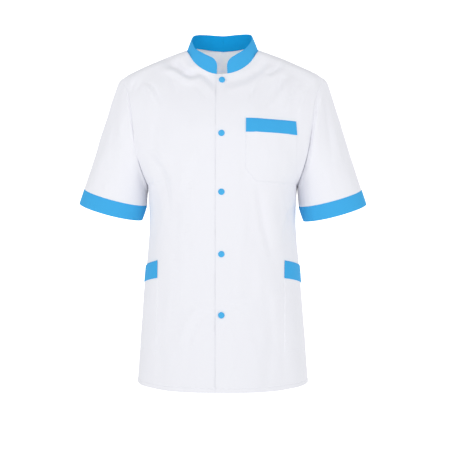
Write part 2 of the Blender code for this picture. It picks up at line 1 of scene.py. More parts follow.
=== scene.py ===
"""The looks of a short-sleeved medical tunic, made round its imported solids.

Each piece of cloth is made again as a finer shell on the sizes of its solid, with its
creases, seams and stitches. Sizes are in millimetres, and MM turns them into metres. X
runs to the wearer's left, the front faces -Y and Z points up.

The body of the tunic is a net of rows. Row 0 is the front hem, row 6 the underarm, row
13 the front of the neck and row 15 the shoulder seam. The rows go on down the back: 17
is the back of the neck, 24 the underarm and 30 the back hem. A row runs from the centre
or the neck (across = 0) to the side seam or the armhole (across = 1).
"""

import math

import bmesh
import bpy
import numpy as np
from mathutils import Matrix, Vector


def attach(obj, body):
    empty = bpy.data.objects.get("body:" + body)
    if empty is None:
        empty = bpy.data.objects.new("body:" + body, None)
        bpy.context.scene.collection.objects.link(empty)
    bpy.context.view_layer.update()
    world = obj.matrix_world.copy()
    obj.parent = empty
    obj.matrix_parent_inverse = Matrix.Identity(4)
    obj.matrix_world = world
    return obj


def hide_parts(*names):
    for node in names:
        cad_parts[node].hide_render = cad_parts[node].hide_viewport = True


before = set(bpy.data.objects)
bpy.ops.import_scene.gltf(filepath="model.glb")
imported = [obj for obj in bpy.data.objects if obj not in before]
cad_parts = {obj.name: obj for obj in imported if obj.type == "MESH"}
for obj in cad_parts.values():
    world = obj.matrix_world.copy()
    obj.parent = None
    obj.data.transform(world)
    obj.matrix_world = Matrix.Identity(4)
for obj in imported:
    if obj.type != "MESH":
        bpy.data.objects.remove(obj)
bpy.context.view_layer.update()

MM = 0.001

# Rows of the body below the arms: level, half width, depth of the front, depth of the
# back, and how full the corners between them are (0.55 would be an ellipse).
BODY_ROWS = (
    (-736, 189.0, 152, 140, 0.57),
    (-640, 182.6, 149, 134, 0.59),
    (-555, 175.4, 146, 128, 0.61),
    (-466, 168.4, 143, 124, 0.62),
    (-386, 162.0, 141, 121, 0.63),
    (-340, 162.5, 140, 120, 0.63),
    (-296, 165.0, 140, 120, 0.63),
)

# The armhole from the underarm to the shoulder tip: half width, level, front depth, back depth.
ARMHOLE = (
    (165, -296, 0, 0),
    (168, -288, 24, 22),
    (174, -272, 44, 41),
    (182, -246, 58, 55),
    (190, -210, 64, 61),
    (196, -165, 63, 61),
    (201, -125, 54, 54),
    (208, -94, 38, 39),
    (216, -73, 20, 21),
    (224, -59, 0, 0),
)

# For each armhole row: depth and level at the centre, then the row's inner handle and its
# outer handle, each as half width, depth and level.
FRONT_ROWS = (
    (140, -296, 104, 140, -296, 165, 88, -296),
    (140, -288, 103, 140, -288, 162, 89, -288),
    (140, -272, 101, 140, -272, 159, 94, -272),
    (139, -246, 98, 139, -246, 157, 101, -246),
    (135, -210, 94, 135, -210, 152, 104, -210),
    (126, -165, 86, 126, -165, 148, 98, -163),
    (103, -113, 72, 103, -113, 150, 86, -112),
    (68, -57, 46, 68, -57, 152, 70, -70),
    (None, None, 96, 44, -32, 170, 34, -46),
    (None, None, 125, 0, -12, 180, 0, -36),
)
BACK_ROWS = (
    (120, -296, 104, 120, -296, 165, 76, -296),
    (120, -288, 103, 120, -288, 163, 77, -288),
    (120, -272, 102, 120, -272, 162, 82, -272),
    (120, -246, 100, 120, -246, 161, 89, -246),
    (120, -208, 98, 120, -208, 158, 94, -208),
    (117, -156, 88, 117, -156, 154, 95, -160),
    (104, -93, 74, 104, -93, 154, 88, -106),
    (66, 11, 50, 66, 11, 162, 68, -56),
    (None, None, 100, 42, -6, 172, 36, -42),
    (None, None, 125, 0, -12, 180, 0, -36),
)

# Row numbers, then how many points measure a row and how often a search halves it.
UNDERARM_ROW = 6
NECK_ROW = 13
SHOULDER_ROW = 15
LAST_ROW = 30
ROW_SAMPLES = 121
HALVINGS = 24

# The neck seam and the stand collar, with the half widths of its top on the wearer's right
# and left. NECK_BEHIND holds the seam's levels behind the shoulder, as angle round the neck
# and level.
NECK_HALF_WIDTH = 79
NECK_FRONT_DEPTH = 68
NECK_BACK_DEPTH = 66
NECK_DROP = 57
NECK_DROP_POWER = 1.5
NECK_SIDE_LIFT = 2.6
NECK_BEHIND = ((0, 0), (90, 0), (110, 7.2), (125, 12.4), (140, 14.4), (160, 12.9), (180, 11))
COLLAR_WALL = 2.1
COLLAR_ROUND = 0.7
COLLAR_TOP_HALF_WIDTHS = (70, 66)
COLLAR_TOP_FRONT = 61
COLLAR_TOP_BACK = 60
COLLAR_HIGH = 34
COLLAR_END_ANGLE = 8.4
COLLAR_CORNER = 18
COLLAR_CROWN = 0.5

# The collar leans in and out round the neck, and its foot is slightly uneven: height and
# number of the waves, and the start of the leaning ones with its shift to either side.
COLLAR_LEAN = (0.5, 3)
COLLAR_LEAN_START = (0.8, 0.9)
COLLAR_UNEVEN = (0.12, 14)

# Where the collar's grid has its rows, as shares of its height, and its columns, as shares of
# the way from its front end to the back: their step, and the close-set ones at the two ends.
COLLAR_HEIGHTS = (
    -0.03, 0.015, 0.05, *np.linspace(0.1, 0.64, 9), *np.linspace(0.68, 0.95, 9), 0.97, 0.985, 0.995, 1,
)
COLLAR_STEP = 0.016
COLLAR_ENDS = ((0, 0.003, 0.008), (0, 0.01))

# The collar's worn top edge: angle round the neck, then its level on the wearer's right
# and on the wearer's left.
COLLAR_TOP = (
    (0, -23.5, -23.5),
    (10, -21.6, -21.4),
    (20, -18.4, -18.0),
    (30, -13.2, -11.0),
    (40, -7.1, -4.5),
    (50, -1.5, 2.2),
    (60, 4.5, 9.8),
    (70, 13.2, 17.6),
    (80, 20.8, 25.0),
    (90, 27.3, 31.0),
    (100, 33.7, 37.5),
    (110, 39.4, 41.5),
    (125, 43.8, 45.0),
    (150, 46.4, 47.0),
    (180, 45.3, 45.3),
)

# The cuff's hem. The arm leans out from the vertical, and the cuff rises to its outer
# side and dips to its front.
CUFF_CENTRE = (249, 4, -354.2)
CUFF_HALF_WIDTH = 72.5
CUFF_HALF_DEPTH = 63
CUFF_HEIGHT = 34.5
ARM_SLANT = math.radians(18.5)
CUFF_RISE = math.radians(15.2)
CUFF_DIP = math.radians(8)
CAP_ROLL = 5.5
CAP_REACH = 8
CUFF_WALL = 1.6
CUFF_ROUND = 0.6
CUFF_PROUD = 0.5
ARM_DROP = {"left": 2.4, "right": 0}

# Waves of a cuff's hem: height, number round the arm, start and twist. Its seam is tucked in:
# depth and reach.
CUFF_WAVES = ((0.7, 3, 0.6, 0), (0.4, 7, 2.1, 2))
CUFF_TUCK = (0.4, 1.2)

# The sleeve lies flat in front nearly up to its inner edge, full from some way down, and its
# head rolls over the seam: height, distance from the seam and reach. Its two ends reach a
# little past their seams. On the wearer's left it sinks beside its seam and then swells: the
# swell's levels, heights and reaches.
UNDERARM_SQUARE = 0.25
SQUARE_REACH = 1.2
SQUARE_SIDE = 0.07
UNDERARM_PINCH = 0.92
PINCH_REACH = 0.66
SQUARE_FROM = 0.5
SLEEVE_PAST_SEAM = 1
FRONT_SWELL = (
    (-100, 0.6, 9), (-126, 1.8, 9), (-152, 3.2, 8), (-190, 4.4, 7),
    (-215, 4.6, 9), (-245, 6.0, 13), (-300, 6.0, 16),
)
SWELL_FADE = 50
SWELL_START = 3
SWELL_END = 60
SWELL_SIDE = 3
SINK = 4.2
SINK_LEVEL = (-128, 38)
SINK_DISTANCE = (5.5, 5.5)
HEAD_ROLL = (0.2, 5, 3.2)

# The front closure: how far the front below stands back, and over which distances from the
# centre line it comes forward again.
LAP_STEP = 1.4
LAP_FADE = (60, 17)

# The chest pocket on the wearer's left, with bevelled lower corners. The slant is how far
# it drops on its way outwards. Levels are the band's top, the seam below it and the foot.
CHEST_POCKET_INNER = 51.5
CHEST_POCKET_WIDE = 109.5
CHEST_POCKET_LEVELS = (-158.5, -185.5, -289.5)
BEVEL_HIGH = 25
BEVEL_WIDTHS = (21.5, 25)
CHEST_POCKET_SLANTS = (4.5, 8)
CHEST_POCKET_LEAN = 2

# The side pockets, with the place of the inner edge on the wearer's left (1) and right
# (-1). The slant is how far the top drops on its way to the side seam.
SIDE_POCKET_INNER = {1: 134, -1: 138}
SIDE_POCKET_WIDE = 109
SIDE_POCKET_LEVELS = (-459.5, -496.5, -653)
SIDE_POCKET_SLANT = 14.5
SLANT_LEVELS = (-620, -520, -440, -380)

# Snaps: the levels of the five, and the profiles of a cap and of the disc behind it, as
# radius and height.
SNAP_LEVELS = (-72, -190, -314, -445, -573)
SNAP_LIFT = 0.55
CAP_LEAN = 0.2
CAP_RAISE = 2.5
SNAP_BACK_DEPTH = 2.6
CAP_PROFILE = (
    (0, 2.25), (1.5, 2.22), (3, 2.08), (4.4, 1.8), (5.4, 1.42), (6.1, 0.98), (6.55, 0.55),
    (6.75, 0.15), (6.7, -0.2), (6.5, -1.2), (6.2, -1.3), (0, -1.3),
)
STUD_PROFILE = (
    (0, 0.5), (1.8, 0.55), (2.2, 0.8), (2.6, 1.25), (3.2, 1.4), (4.4, 1.35), (5.1, 1.0), (5.45, 0.45),
    (5.5, 0.1), (5.2, 0), (0, 0),
)
TURNED_STEPS = 48
SNAP_SAMPLES = 301

# Walls of the finer shells and the steps of their grids, which are closer on the yoke. A
# pocket or band has a form: how far it stands off its panel, its wall, and how far it swells
# between its sewn edges, which are drawn in: depth and width. SHARP is the angle from which
# an edge is rounded.
CLOTH = 0.8
PANEL_STEP = 3.1
BACK_STEP = 3.5
YOKE_STEP_SHARE = 0.55
POCKET_STEP = 2.6
CUFF_STEP = 3
CHEST_POCKET_FORM = (1.25, 0.7, 0.8)
SIDE_POCKET_FORM = (0.7, 0.5, 0.6)
BAND_FORM = (2.3, 1.4, 0.3)
BAND_LAP = 0.8
PATCH_SWELL_REACH = 25
PATCH_EDGE = (0.5, 1.3)
EDGE_ROUND = 0.3
SHARP = math.radians(55)
MERGE = 0.00001

# Close-set stations beside a seam or a cut edge, as distances from it, and how deep and
# wide a seam draws the cloth in. ARM_SEAM holds levels of the armhole on the wearer's left
# (1) and right (-1), each with its share of that depth. The puckers are waves along the seam,
# each with its length, start and share, and a pace spreads them along its seam.
SEAM_STATIONS = (0, 0.5, 1.1, 2.0, 3.4, 5.4)
LAP_STATIONS = (12.2, 11.8, 11.2, 10.1, 8.4, 6.4, 4.2, 2.1)
SEAM_DEPTH = 0.9
SEAM_WIDTH = 1.5
ARM_SEAM = {
    1: ((-300, 0.4), (-265, 1.2), (-180, 1.9), (-120, 2.2), (-95, 1.3), (-60, 0.4)),
    -1: (
        (-300, 0.4), (-265, 1.0), (-250, 1.2), (-235, 0.1), (-205, 0.2),
        (-180, 1.8), (-125, 2.2), (-95, 1.4), (-60, 0.4),
    ),
}
PUCKER = 0.1
PUCKER_REACH = 7
PUCKER_WAVES = ((2.1, 0, 1), (3.7, 1, 1), (1.37, 2, 0.6))
NECK_PACE = 1.7
SHOULDER_PACE = 300
HEAD_PACE = 1.2
CUFF_PACE = 0.8

# The free edge of the lap stands up a little, and its gap opens and closes on its way down:
# levels, reaches and heights.
LAP_FLARE = 0.1
LAP_GAPES = (
    (-100, 24, 0.5), (-502, 24, 0.9), (-592, 30, 0.9), (-250, 40, 0.2), (-390, 30, 0.3), (-716, 22, 0.6),
)
LAP_FLARE_REACH = 4.5
LAP_FLARE_END = 2

# The crest of the shoulder stands up over its seam, the front is fuller a little below it,
# and the hem's corners are lifted.
SHOULDER_CREST = 1.7
CREST_REACH = 15
CREST_FADE = 22
SHOULDER_FULL = 5
FULL_FROM_SEAM = 25
FULL_REACH = 13
CORNER_LIFT = 4.5
CORNER_SHARE = 0.35
CORNER_FULL = 0.75
CORNER_REACH = 60

# The turned hem: its height and half of its thickness. Its face stands proud by a share of
# that from a step below its top, and its sewing draws in a groove: depth and width. The
# stations are a panel's first rows above the fold, then those of the layer inside.
HEM_TURN = 10
HEM_FOLD = 0.95
HEM_PROUD = (0.5, 1.2)
HEM_GROOVE = (0.35, 1.1)
HEM_STATIONS = (1, 2.2, 4, 6.2, 8, 9, 9.6, 10, 10.4, 11, 12.2, 14, 16.5)
HEM_INSIDE = (11, 8, 5, 2.6, 1)

# Large folds of the front and the back, where the solids have theirs: start, middle and end
# as x and level, then the width and the height. A trough's height is negative.
FRONT_FOLDS = (
    (71, -300, 80, -373, 103, -458, 15, -2.2),
    (97, -305, 108, -380, 128, -450, 15, 1.2),
    (139, -350, 135, -409, 139, -447, 13, -2.2),
    (-160, -246, -122, -262, -107, -350, 14, -2.6),
    (-137, -278, -139, -330, -136, -384, 12, -1.6),
    (-113, -27, -69, -62, -20, -84, 10, -3.0),
)
BACK_FOLDS = (
    (150, -250, 112, -290, 100, -400, 16, -4.0),
    (-146, -255, -118, -300, -104, -380, 16, -3.6),
    (40, -420, 52, -520, 46, -640, 20, -3.0),
    (-60, -380, -66, -480, -74, -620, 20, -3.2),
    (0, -330, -6, -450, -4, -600, 18, 2.6),
)
FOLD_STEPS = 25
FOLD_END_SHARE = 0.12
FOLD_FADE_POWER = 0.8
SEAM_FADE = 0.14
SHOULDER_FADE = 1.2

# How far from the outer seam, the neck seam and the shoulder seam, and from the two ends of
# a sleeve, the creases reach their full height, and how fast they do beside its inner and
# outer edges.
BODY_CLEAR = (14, 9, 12)
SLEEVE_CLEAR = (16, 14)
EDGE_CLEAR = 1.6

# The waves of the hem.
HEM_WAVES = 7
HEM_WAVE_UNEVEN = 1.9
HEM_WAVE_HEIGHT = 2.4
HEM_WAVE_FROM = -470

# Finer creases, in the same columns.
YOKE_CREASES = (
    (-124, -28, -107, -26, -86, -47, 8.0, -5.4),
    (-87, -45, -72, -58, -55, -51, 7.6, -6.2),
    (-56, -51, -38, -50, -18, -77, 7.6, -5.2),
    (-128, -47, -108, -45, -86, -65, 8.4, 4.8),
    (-90, -63, -73, -78, -54, -70, 8.0, 4.4),
    (-58, -69, -40, -69, -22, -96, 8.4, 4.0),
    (-122, -16, -106, -20, -92, -32, 10.0, -3.6),
    (-157, -80, -144, -84, -134, -116, 4.8, -2.0),
    (-168, -80, -154, -86, -145, -119, 5.4, 3.2),
    (-191, -68, -200, -84, -202, -104, 4.3, -2.3),
    (-178, -70, -186, -82, -189, -98, 4.3, -1.6),
    (-113, -60, -108, -76, -100, -94, 4.2, -1.2),
    (-60, -82, -44, -98, -30, -118, 5.0, -1.2),
    (10, -76, 40, -72, 68, -54, 9.4, -4.2),
    (66, -54, 82, -46, 95, -28, 9.4, -4.8),
    (16, -95, 44, -91, 74, -73, 8.0, 1.8),
    (76, -72, 92, -60, 104, -44, 8.0, 1.8),
    (96, -56, 112, -50, 130, -33, 5.0, -3.6),
    (100, -68, 118, -61, 138, -44, 7.0, 2.2),
    (134, -65, 116, -90, 91, -128, 6.6, -3.0),
    (151, -68, 132, -90, 112, -123, 6.6, 2.0),
    (86, -60, 66, -86, 57, -116, 5.0, -2.2),
    (130, -66, 123, -92, 114, -116, 5.0, -2.4),
    (160, -76, 147, -104, 135, -128, 5.0, -2.8),
    (184, -82, 172, -108, 160, -134, 5.0, -2.4),
    (166, -100, 156, -118, 149, -139, 4.8, -2.1),
    (181, -98, 170, -120, 166, -147, 5.7, 1.8),
)
FRONT_CREASES = (
    (-167, -220, -100, -230, -106, -344, 7.9, 1.3),
    (-144, -378, -157, -424, -150, -462, 8.8, -2.2),
    (-17, -565, -50, -558, -72, -639, 6.2, -2.1),
    (-26, -550, -62, -545, -87, -628, 7, 1.4),
    (10, -430, 30, -402, 39, -361, 5.3, -1.3),
    (21, -439, 46, -410, 54, -378, 6.2, 1.1),
    (8, -550, 22, -530, 33, -506, 4, -1.4),
    (12, -565, 33, -550, 54, -544, 4.4, -1.3),
    (14, -540, 32, -552, 46, -523, 4.4, 1),
    (-97, -342, -96, -440, -106, -609, 7.9, -1.1),
    (-70, -247, -76, -392, -66, -546, 8.8, -1),
    (-133, -510, -124, -603, -135, -704, 7, -1.1),
    (-85, -542, -79, -620, -89, -721, 7.9, 1),
    (46, -165, 50, -218, 46, -302, 7, -0.8),
    (94, -516, 118, -596, 98, -712, 8.8, -1.4),
    (126, -542, 129, -628, 136, -723, 7, -1.1),
    (-45, -628, -32, -678, -43, -733, 7, -0.8),
    (21, -605, 30, -650, 18, -727, 7, 0.8),
    (58, -352, 58, -427, 71, -542, 9.7, -1),
    (-154, -146, -136, -180, -150, -230, 7, -1),
    (141, -344, 154, -368, 147, -411, 6.2, -2),
    (122, -302, 138, -338, 130, -390, 6.2, 1.3),
    (-38, -163, -45, -216, -36, -310, 8.8, -0.7),
    (66, -306, 77, -378, 95, -456, 8, 1.8),
    (77, -306, 88, -378, 106, -456, 8, -1.5),
    (-168, -252, -138, -285, -126, -374, 8, 1.8),
    (-164, -230, -118, -252, -111, -370, 6.5, -2.1),
    (154, -336, 130, -362, 126, -416, 7, 2.0),
    (162, -342, 140, -370, 137, -420, 7, -2.2),
    (-12, -500, -40, -470, -46, -400, 9, -0.7),
    (-40, -222, -56, -262, -84, -330, 9, -1.5),
    (-50, -214, -68, -258, -96, -320, 9, 0.9),
    (4, -560, -16, -590, -56, -640, 6, -1.2),
    (2, -566, -4, -610, -22, -668, 6, -0.9),
    (8, -552, 30, -548, 50, -566, 4.5, -0.9),
    (-4, -556, -30, -540, -70, -560, 6, -1.0),
    (30, -512, 44, -476, 40, -420, 7, 0.8),
)
BACK_CREASES = (
    (-150, -70, -112, -96, -80, -150, 8.5, -1.9),
    (148, -74, 118, -104, 90, -168, 8.5, -1.7),
    (-60, -6, -30, -26, 6, -28, 6.6, -1.9),
    (70, -12, 44, -34, 12, -44, 6.6, -1.4),
    (172, -150, 140, -190, 120, -262, 8.5, -1.8),
    (-176, -160, -146, -196, -130, -270, 8.5, -1.6),
    (-160, -420, -100, -436, -40, -418, 8.5, -1.4),
    (150, -404, 96, -424, 30, -408, 8.5, -1.7),
    (-120, -452, -60, -470, 10, -460, 9.5, 1.1),
    (-110, -520, -120, -610, -104, -720, 9.5, -1.3),
    (112, -500, 104, -600, 118, -716, 9.5, -1.2),
    (84, -180, 78, -260, 88, -340, 10.4, -1),
    (-30, -170, -24, -270, -34, -350, 11.4, 1),
    (-150, -560, -158, -640, -152, -716, 7.6, -1.2),
    (152, -540, 160, -630, 150, -712, 7.6, -1.3),
)

# Creases of the sleeves on their front and back halves, with x away from the body.
SLEEVE_CREASES = {
    ("right", "front"): (
        (237, -136, 234, -195, 250, -286, 8, -1.3),
        (209, -151, 202, -222, 207, -290, 8, -0.9),
        (224, -138, 218, -204, 228, -295, 8, 0.9),
        (259, -199, 269, -252, 283, -308, 9, 0.8),
        (185, -221, 172, -267, 176, -321, 8, -1.5),
        (222, -297, 198, -297, 183, -321, 7, -0.8),
    ),
    ("left", "front"): (
        (225, -108, 230, -168, 240, -243, 7, -2.0),
        (244, -132, 250, -186, 260, -249, 7, 1.2),
        (252, -169, 263, -215, 274, -269, 7, -1.3),
        (195, -156, 200, -219, 206, -290, 9, 1.0),
        (189, -212, 186, -254, 176, -303, 8, -1.8),
        (282, -253, 286, -288, 293, -316, 7, -0.8),
        (208, -264, 226, -288, 224, -321, 7, -0.8),
    ),
    ("right", "back"): (
        (214, -128, 222, -190, 232, -262, 8, -1.6),
        (240, -150, 250, -204, 262, -268, 8, 1.0),
        (198, -190, 196, -240, 206, -304, 9, -1.2),
        (258, -232, 268, -272, 276, -318, 8, -0.9),
    ),
    ("left", "back"): (
        (220, -120, 226, -176, 240, -238, 8, -1.4),
        (200, -176, 204, -236, 214, -300, 9, -1.4),
        (246, -190, 256, -240, 270, -300, 8, 1.0),
        (190, -230, 184, -268, 186, -308, 8, -1.0),
    ),
}

# Slow unevenness of all cloth: width and length of a wave, its slant, start and height, and
# how far all of them bend. The back and the sleeves read it from other places.
RIPPLES = (
    (91, 430, 0.35, 1.1, 0.60),
    (58, 310, -0.30, 2.3, 0.40),
    (37, 205, 0.20, 0.4, 0.22),
    (23, 130, -0.15, 4.1, 0.10),
    (170, 96, 0.60, 2.9, 0.28),
)
RIPPLE_BEND = 1.4
BACK_RIPPLE_SHIFT = 311
SLEEVE_RIPPLE_SHIFT = {"left": 40, "right": 170}
SLEEVE_RIPPLE = 0.7

# Sewing: the length, width, spacing and height of a stitch, how far it is sewn from an edge,
# the shares of a row where a line ends beside a seam and where a band's starts, how far below
# its band a pocket's starts, how that of the chest pocket keeps inside its bevel, and the
# share of its height where the collar's starts.
STITCH_LENGTH = 2.3
STITCH_WIDTH = 0.42
STITCH_PITCH = 3.0
STITCH_LIFT = 0.05
EDGE_STITCH = 2.0
BAND_STITCH = 1.6
COLLAR_STITCH = 4.0
HEM_LINE_END = 0.995
SIDE_LINE_END = 0.985
CHEST_LINE_END = 0.988
LINE_START = 0.012
BELOW_BAND = 3
BEVEL_INSET = 0.4
BEVEL_RAISE = 0.6
COLLAR_LINE_START = 0.06

# How far the thread sinks into a pocket and a band, and how many points draw a line: the hem's,
# a patch's between two corners, and the collar's front end and top.
THREAD_SINK = (0.1, 0.05)
HEM_POINTS = 160
PATCH_POINTS = 40
COLLAR_POINTS = (60, 150)

# Colours, and how far light spreads in the white cloth in each colour, in millimetres.
WHITE = (0.875, 0.88, 0.93)
BLUE = (0.052, 0.42, 0.82)
# The collar's inside is the same blue cloth in a more saturated blue: painted shade and bounced blue light of
# the collar's hollow.
BLUE_INSIDE_PAINTED_SHADE = (0.003, 0.40, 0.86)
SNAP_BLUE = (0.045, 0.44, 0.84)
THROUGH_LIGHT = (4.4, 5.4, 8.0)
THREAD_PITCH = 0.36

# The camera: its distance, how far it stands to the wearer's left, the eye's level and
# how far to the left of the object's centre it looks.
CAMERA_DISTANCE = 2.6
CAMERA_SIDE = math.radians(1.0)
CAMERA_LEVEL = -0.386
CAMERA_OFFSET = 0.0073
CAMERA_LENS = 93.28
CAMERA_SENSOR = 36
FLOOR_LEVEL = -1.3
STAGE_SIZE = 14

# Light: each lamp's place, size and power, and the brightness of the room at and below
# eye level and overhead.
LAMPS = (
    ("key light", (-2.2, -2.7, 1.0), 1.2, 21.5),
    ("front light", (2.2, -2.7, 0.8), 1.4, 17),
    ("back light", (1.6, 2.7, 0.6), 1.4, 11.5),
)
ROOM_LIGHT = 0.93
OVERHEAD_LIGHT = 0.49
BACKDROP_DEPTH = 6


# The form of the body, worked out as in the solids.


def ease(value):
    """A smooth step from 0 to 1."""
    value = np.clip(value, 0, 1)
    return value * value * (3 - 2 * value)


def close(distance, reach):
    """1 at no distance, falling softly to 0 over about twice a reach."""
    return np.exp(-((distance / reach) ** 2))


def through(knots, values, at):
    """The smooth curve through values at knots, read at each place in at and level past its ends."""
    knots = np.asarray(knots, float)
    values = np.asarray(values, float)
    gap = np.diff(knots)
    slope = np.diff(values, axis=0) / gap[:, None]
    middle = (gap[1:, None] * slope[:-1] + gap[:-1, None] * slope[1:]) / (gap[1:] + gap[:-1])[:, None]
    tangent = np.concatenate([slope[:1], middle, slope[-1:]])
    at = np.clip(at, knots[0], knots[-1])
    k = np.clip(np.searchsorted(knots, at, side="right") - 1, 0, len(knots) - 2)
    h = gap[k][..., None]
    t = ((at - knots[k]) / gap[k])[..., None]
    start = (2 * t**3 - 3 * t**2 + 1) * values[k] + (t**3 - 2 * t**2 + t) * h * tangent[k]
    end = (3 * t**2 - 2 * t**3) * values[k + 1] + (t**3 - t**2) * h * tangent[k + 1]
    return start + end


def read_table(table, at, column=1):
    """A column of a table, read smoothly between the places in its first column."""
    table = np.array(table, float)
    return through(table[:, 0], table[:, column, None], at)[..., 0]


def body_net():
    """Distances along the net and the four control points of each row, from front hem to back hem."""
    sides = []
    for sign, column, chest in ((-1, 2, FRONT_ROWS), (1, 3, BACK_ROWS)):
        rows = []
        for row in BODY_ROWS:
            level, wide, deep, full = row[0], row[1], row[column], row[4]
            rows.append((
                (0, sign * deep, level),
                (full * wide, sign * deep, level),
                (wide, sign * full * deep, level),
                (wide, 0, level),
            ))
        for edge, row in list(zip(ARMHOLE, chest))[1:]:
            deep, level, x1, y1, z1, x2, y2, z2 = row
            centre = (NECK_HALF_WIDTH, 0, 0) if deep is None else (0, sign * deep, level)
            outer = (edge[0], sign * edge[column], edge[1])
            rows.append((centre, (x1, sign * y1, z1), (x2, sign * y2, z2), outer))
        sides.append(np.array(rows, float))
    net = np.concatenate([sides[0], sides[1][::-1][1:]])
    steps = np.linalg.norm(np.diff(net[:, 3], axis=0), axis=1)
    return np.concatenate([[0], np.cumsum(steps)]), net


ALONG, NET = body_net()


def along(row):
    """The distance along the net of a row number."""
    return np.interp(row, np.arange(len(ALONG)), ALONG)


def row_along(distance):
    """The row number at a distance along the net."""
    return np.interp(distance, ALONG, np.arange(len(ALONG)))


def row_at(level):
    """The row number of the front whose outer end lies at a level, below the yoke."""
    levels = [row[0] for row in BODY_ROWS] + [row[1] for row in ARMHOLE[1:]]
    return np.interp(level, levels, np.arange(len(levels)))


def neck_angle(row):
    """Angle round the neck: 0 at the front, 90 at the shoulder, 180 at the back, in degrees."""
    front, top, back = along(NECK_ROW), along(SHOULDER_ROW), along(LAST_ROW - NECK_ROW)
    return np.interp(along(row), (front, top, back), (0, 90, 180))


def neck(angle):
    """A point of the neck seam."""
    turn = np.radians(angle)
    side, ahead = np.sin(turn), np.cos(turn)
    front, back = np.clip(ahead, 0, 1), np.clip(-ahead, 0, 1)
    behind = read_table(NECK_BEHIND, angle) * (ahead < 0)
    return np.stack([
        NECK_HALF_WIDTH * side,
        NECK_BACK_DEPTH * back - NECK_FRONT_DEPTH * front,
        behind - NECK_DROP * front**NECK_DROP_POWER + NECK_SIDE_LIFT * side**3,
    ], axis=-1)


def net_line(column, row, first=0, last=LAST_ROW):
    """A point of a line down the net between two rows: column 0 is its inner end and 3 its outer."""
    part = slice(first, last + 1)
    return through(ALONG[part], NET[part, column], along(row))


def centre_line(row):
    """The inner end of a row: on the centre line, or on the neck seam."""
    back = LAST_ROW - NECK_ROW
    below, behind = net_line(0, row, last=NECK_ROW), net_line(0, row, first=back)
    middle = np.where((row > SHOULDER_ROW)[..., None], behind, below)
    return np.where(((row > NECK_ROW) & (row < back))[..., None], neck(neck_angle(row)), middle)


def armhole(row):
    """A point of the armhole seam, a smooth loop through the underarm."""
    first, last = UNDERARM_ROW, LAST_ROW - UNDERARM_ROW
    before = ALONG[first] - (ALONG[last] - ALONG[last - 1])
    after = ALONG[last] + (ALONG[first + 1] - ALONG[first])
    knots = np.concatenate([[before], ALONG[first : last + 1], [after]])
    points = np.concatenate([NET[last - 1 : last, 3], NET[first : last + 1, 3], NET[first + 1 : first + 2, 3]])
    return through(knots, points, along(row))


def outer_line(row):
    """The outer end of a row: on the side seam, or on the armhole."""
    first, last = UNDERARM_ROW, LAST_ROW - UNDERARM_ROW
    front, back = net_line(3, row, last=first), net_line(3, row, first=last)
    behind = np.where((row > last)[..., None], back, armhole(np.clip(row, first, last)))
    return np.where((row < first)[..., None], front, behind)


def body_point(row, across):
    """A point of the plain body, before its folds."""
    a, b, c, d = centre_line(row), net_line(1, row), net_line(2, row), outer_line(row)
    t = across[..., None]
    return (1 - t) ** 3 * a + 3 * t * (1 - t) ** 2 * b + 3 * t**2 * (1 - t) * c + t**3 * d


def unit(vectors):
    return vectors / np.maximum(np.linalg.norm(vectors, axis=-1, keepdims=True), 1e-9)


def body_normal(row, across):
    """The outward direction of the plain body."""
    ahead, behind = np.minimum(row + 0.02, LAST_ROW), np.maximum(row - 0.02, 0)
    up = body_point(ahead, across) - body_point(behind, across)
    out = body_point(row, across + 0.01) - body_point(row, across - 0.01)
    return unit(np.cross(out, up))


def arm_axes():
    """The cuff's own directions: across to its outer side, to its front, and down the arm."""
    slant = np.array([math.cos(CUFF_RISE), 0, math.sin(CUFF_RISE)])
    ahead = np.array([0, -math.cos(CUFF_DIP), -math.sin(CUFF_DIP)])
    down = np.array([math.sin(ARM_SLANT), 0, -math.cos(ARM_SLANT)])
    return slant, ahead, down


def arm_turn(row):
    """Angle round the sleeve in radians: 0 at the underarm, a quarter turn at the front."""
    ends = along(np.array([UNDERARM_ROW, SHOULDER_ROW, LAST_ROW - UNDERARM_ROW]))
    return np.interp(along(row), ends, (0, math.pi, 2 * math.pi))


def cuff_point(row, down):
    """A point of the cuff: down is 0 at its seam and 1 at its hem."""
    slant, ahead, arm = arm_axes()
    turn = arm_turn(row)[..., None]
    ring = CUFF_HALF_DEPTH * np.sin(turn) * ahead - CUFF_HALF_WIDTH * np.cos(turn) * slant
    return np.array(CUFF_CENTRE) + ring - CUFF_HEIGHT * (1 - down)[..., None] * arm


def sleeve_point(row, down):
    """A point of the sleeve: down is 0 at the armhole and 1 at the cuff's seam."""
    top = armhole(row)
    foot = cuff_point(row, np.zeros(row.shape))
    slant, ahead, _ = arm_axes()
    turn = arm_turn(row)[..., None]
    outward = np.sin(turn) * ahead - np.cos(turn) * slant
    length = np.linalg.norm(foot - top, axis=-1, keepdims=True)
    t = down[..., None]
    roll = CAP_ROLL * (1 - np.exp(-np.maximum(t, 0) * length / CAP_REACH)) * (1 - t)
    return top * (1 - t) + foot * t + roll * ((1 - np.cos(turn)) / 2) ** 2 * outward


def tube_normal(surface, row, down):
    """The outward direction of a sleeve or cuff."""
    first, last = UNDERARM_ROW, LAST_ROW - UNDERARM_ROW
    around = surface(np.minimum(row + 0.03, last), down) - surface(np.maximum(row - 0.03, first), down)
    along_arm = surface(row, down + 0.01) - surface(row, down - 0.01)
    return unit(np.cross(along_arm, around))


def lap_sink(x):
    """How far the front that laps under stands behind the one on top, x from the centre."""
    start, full = LAP_FADE
    return LAP_STEP * ease((start - x) / (start - full))


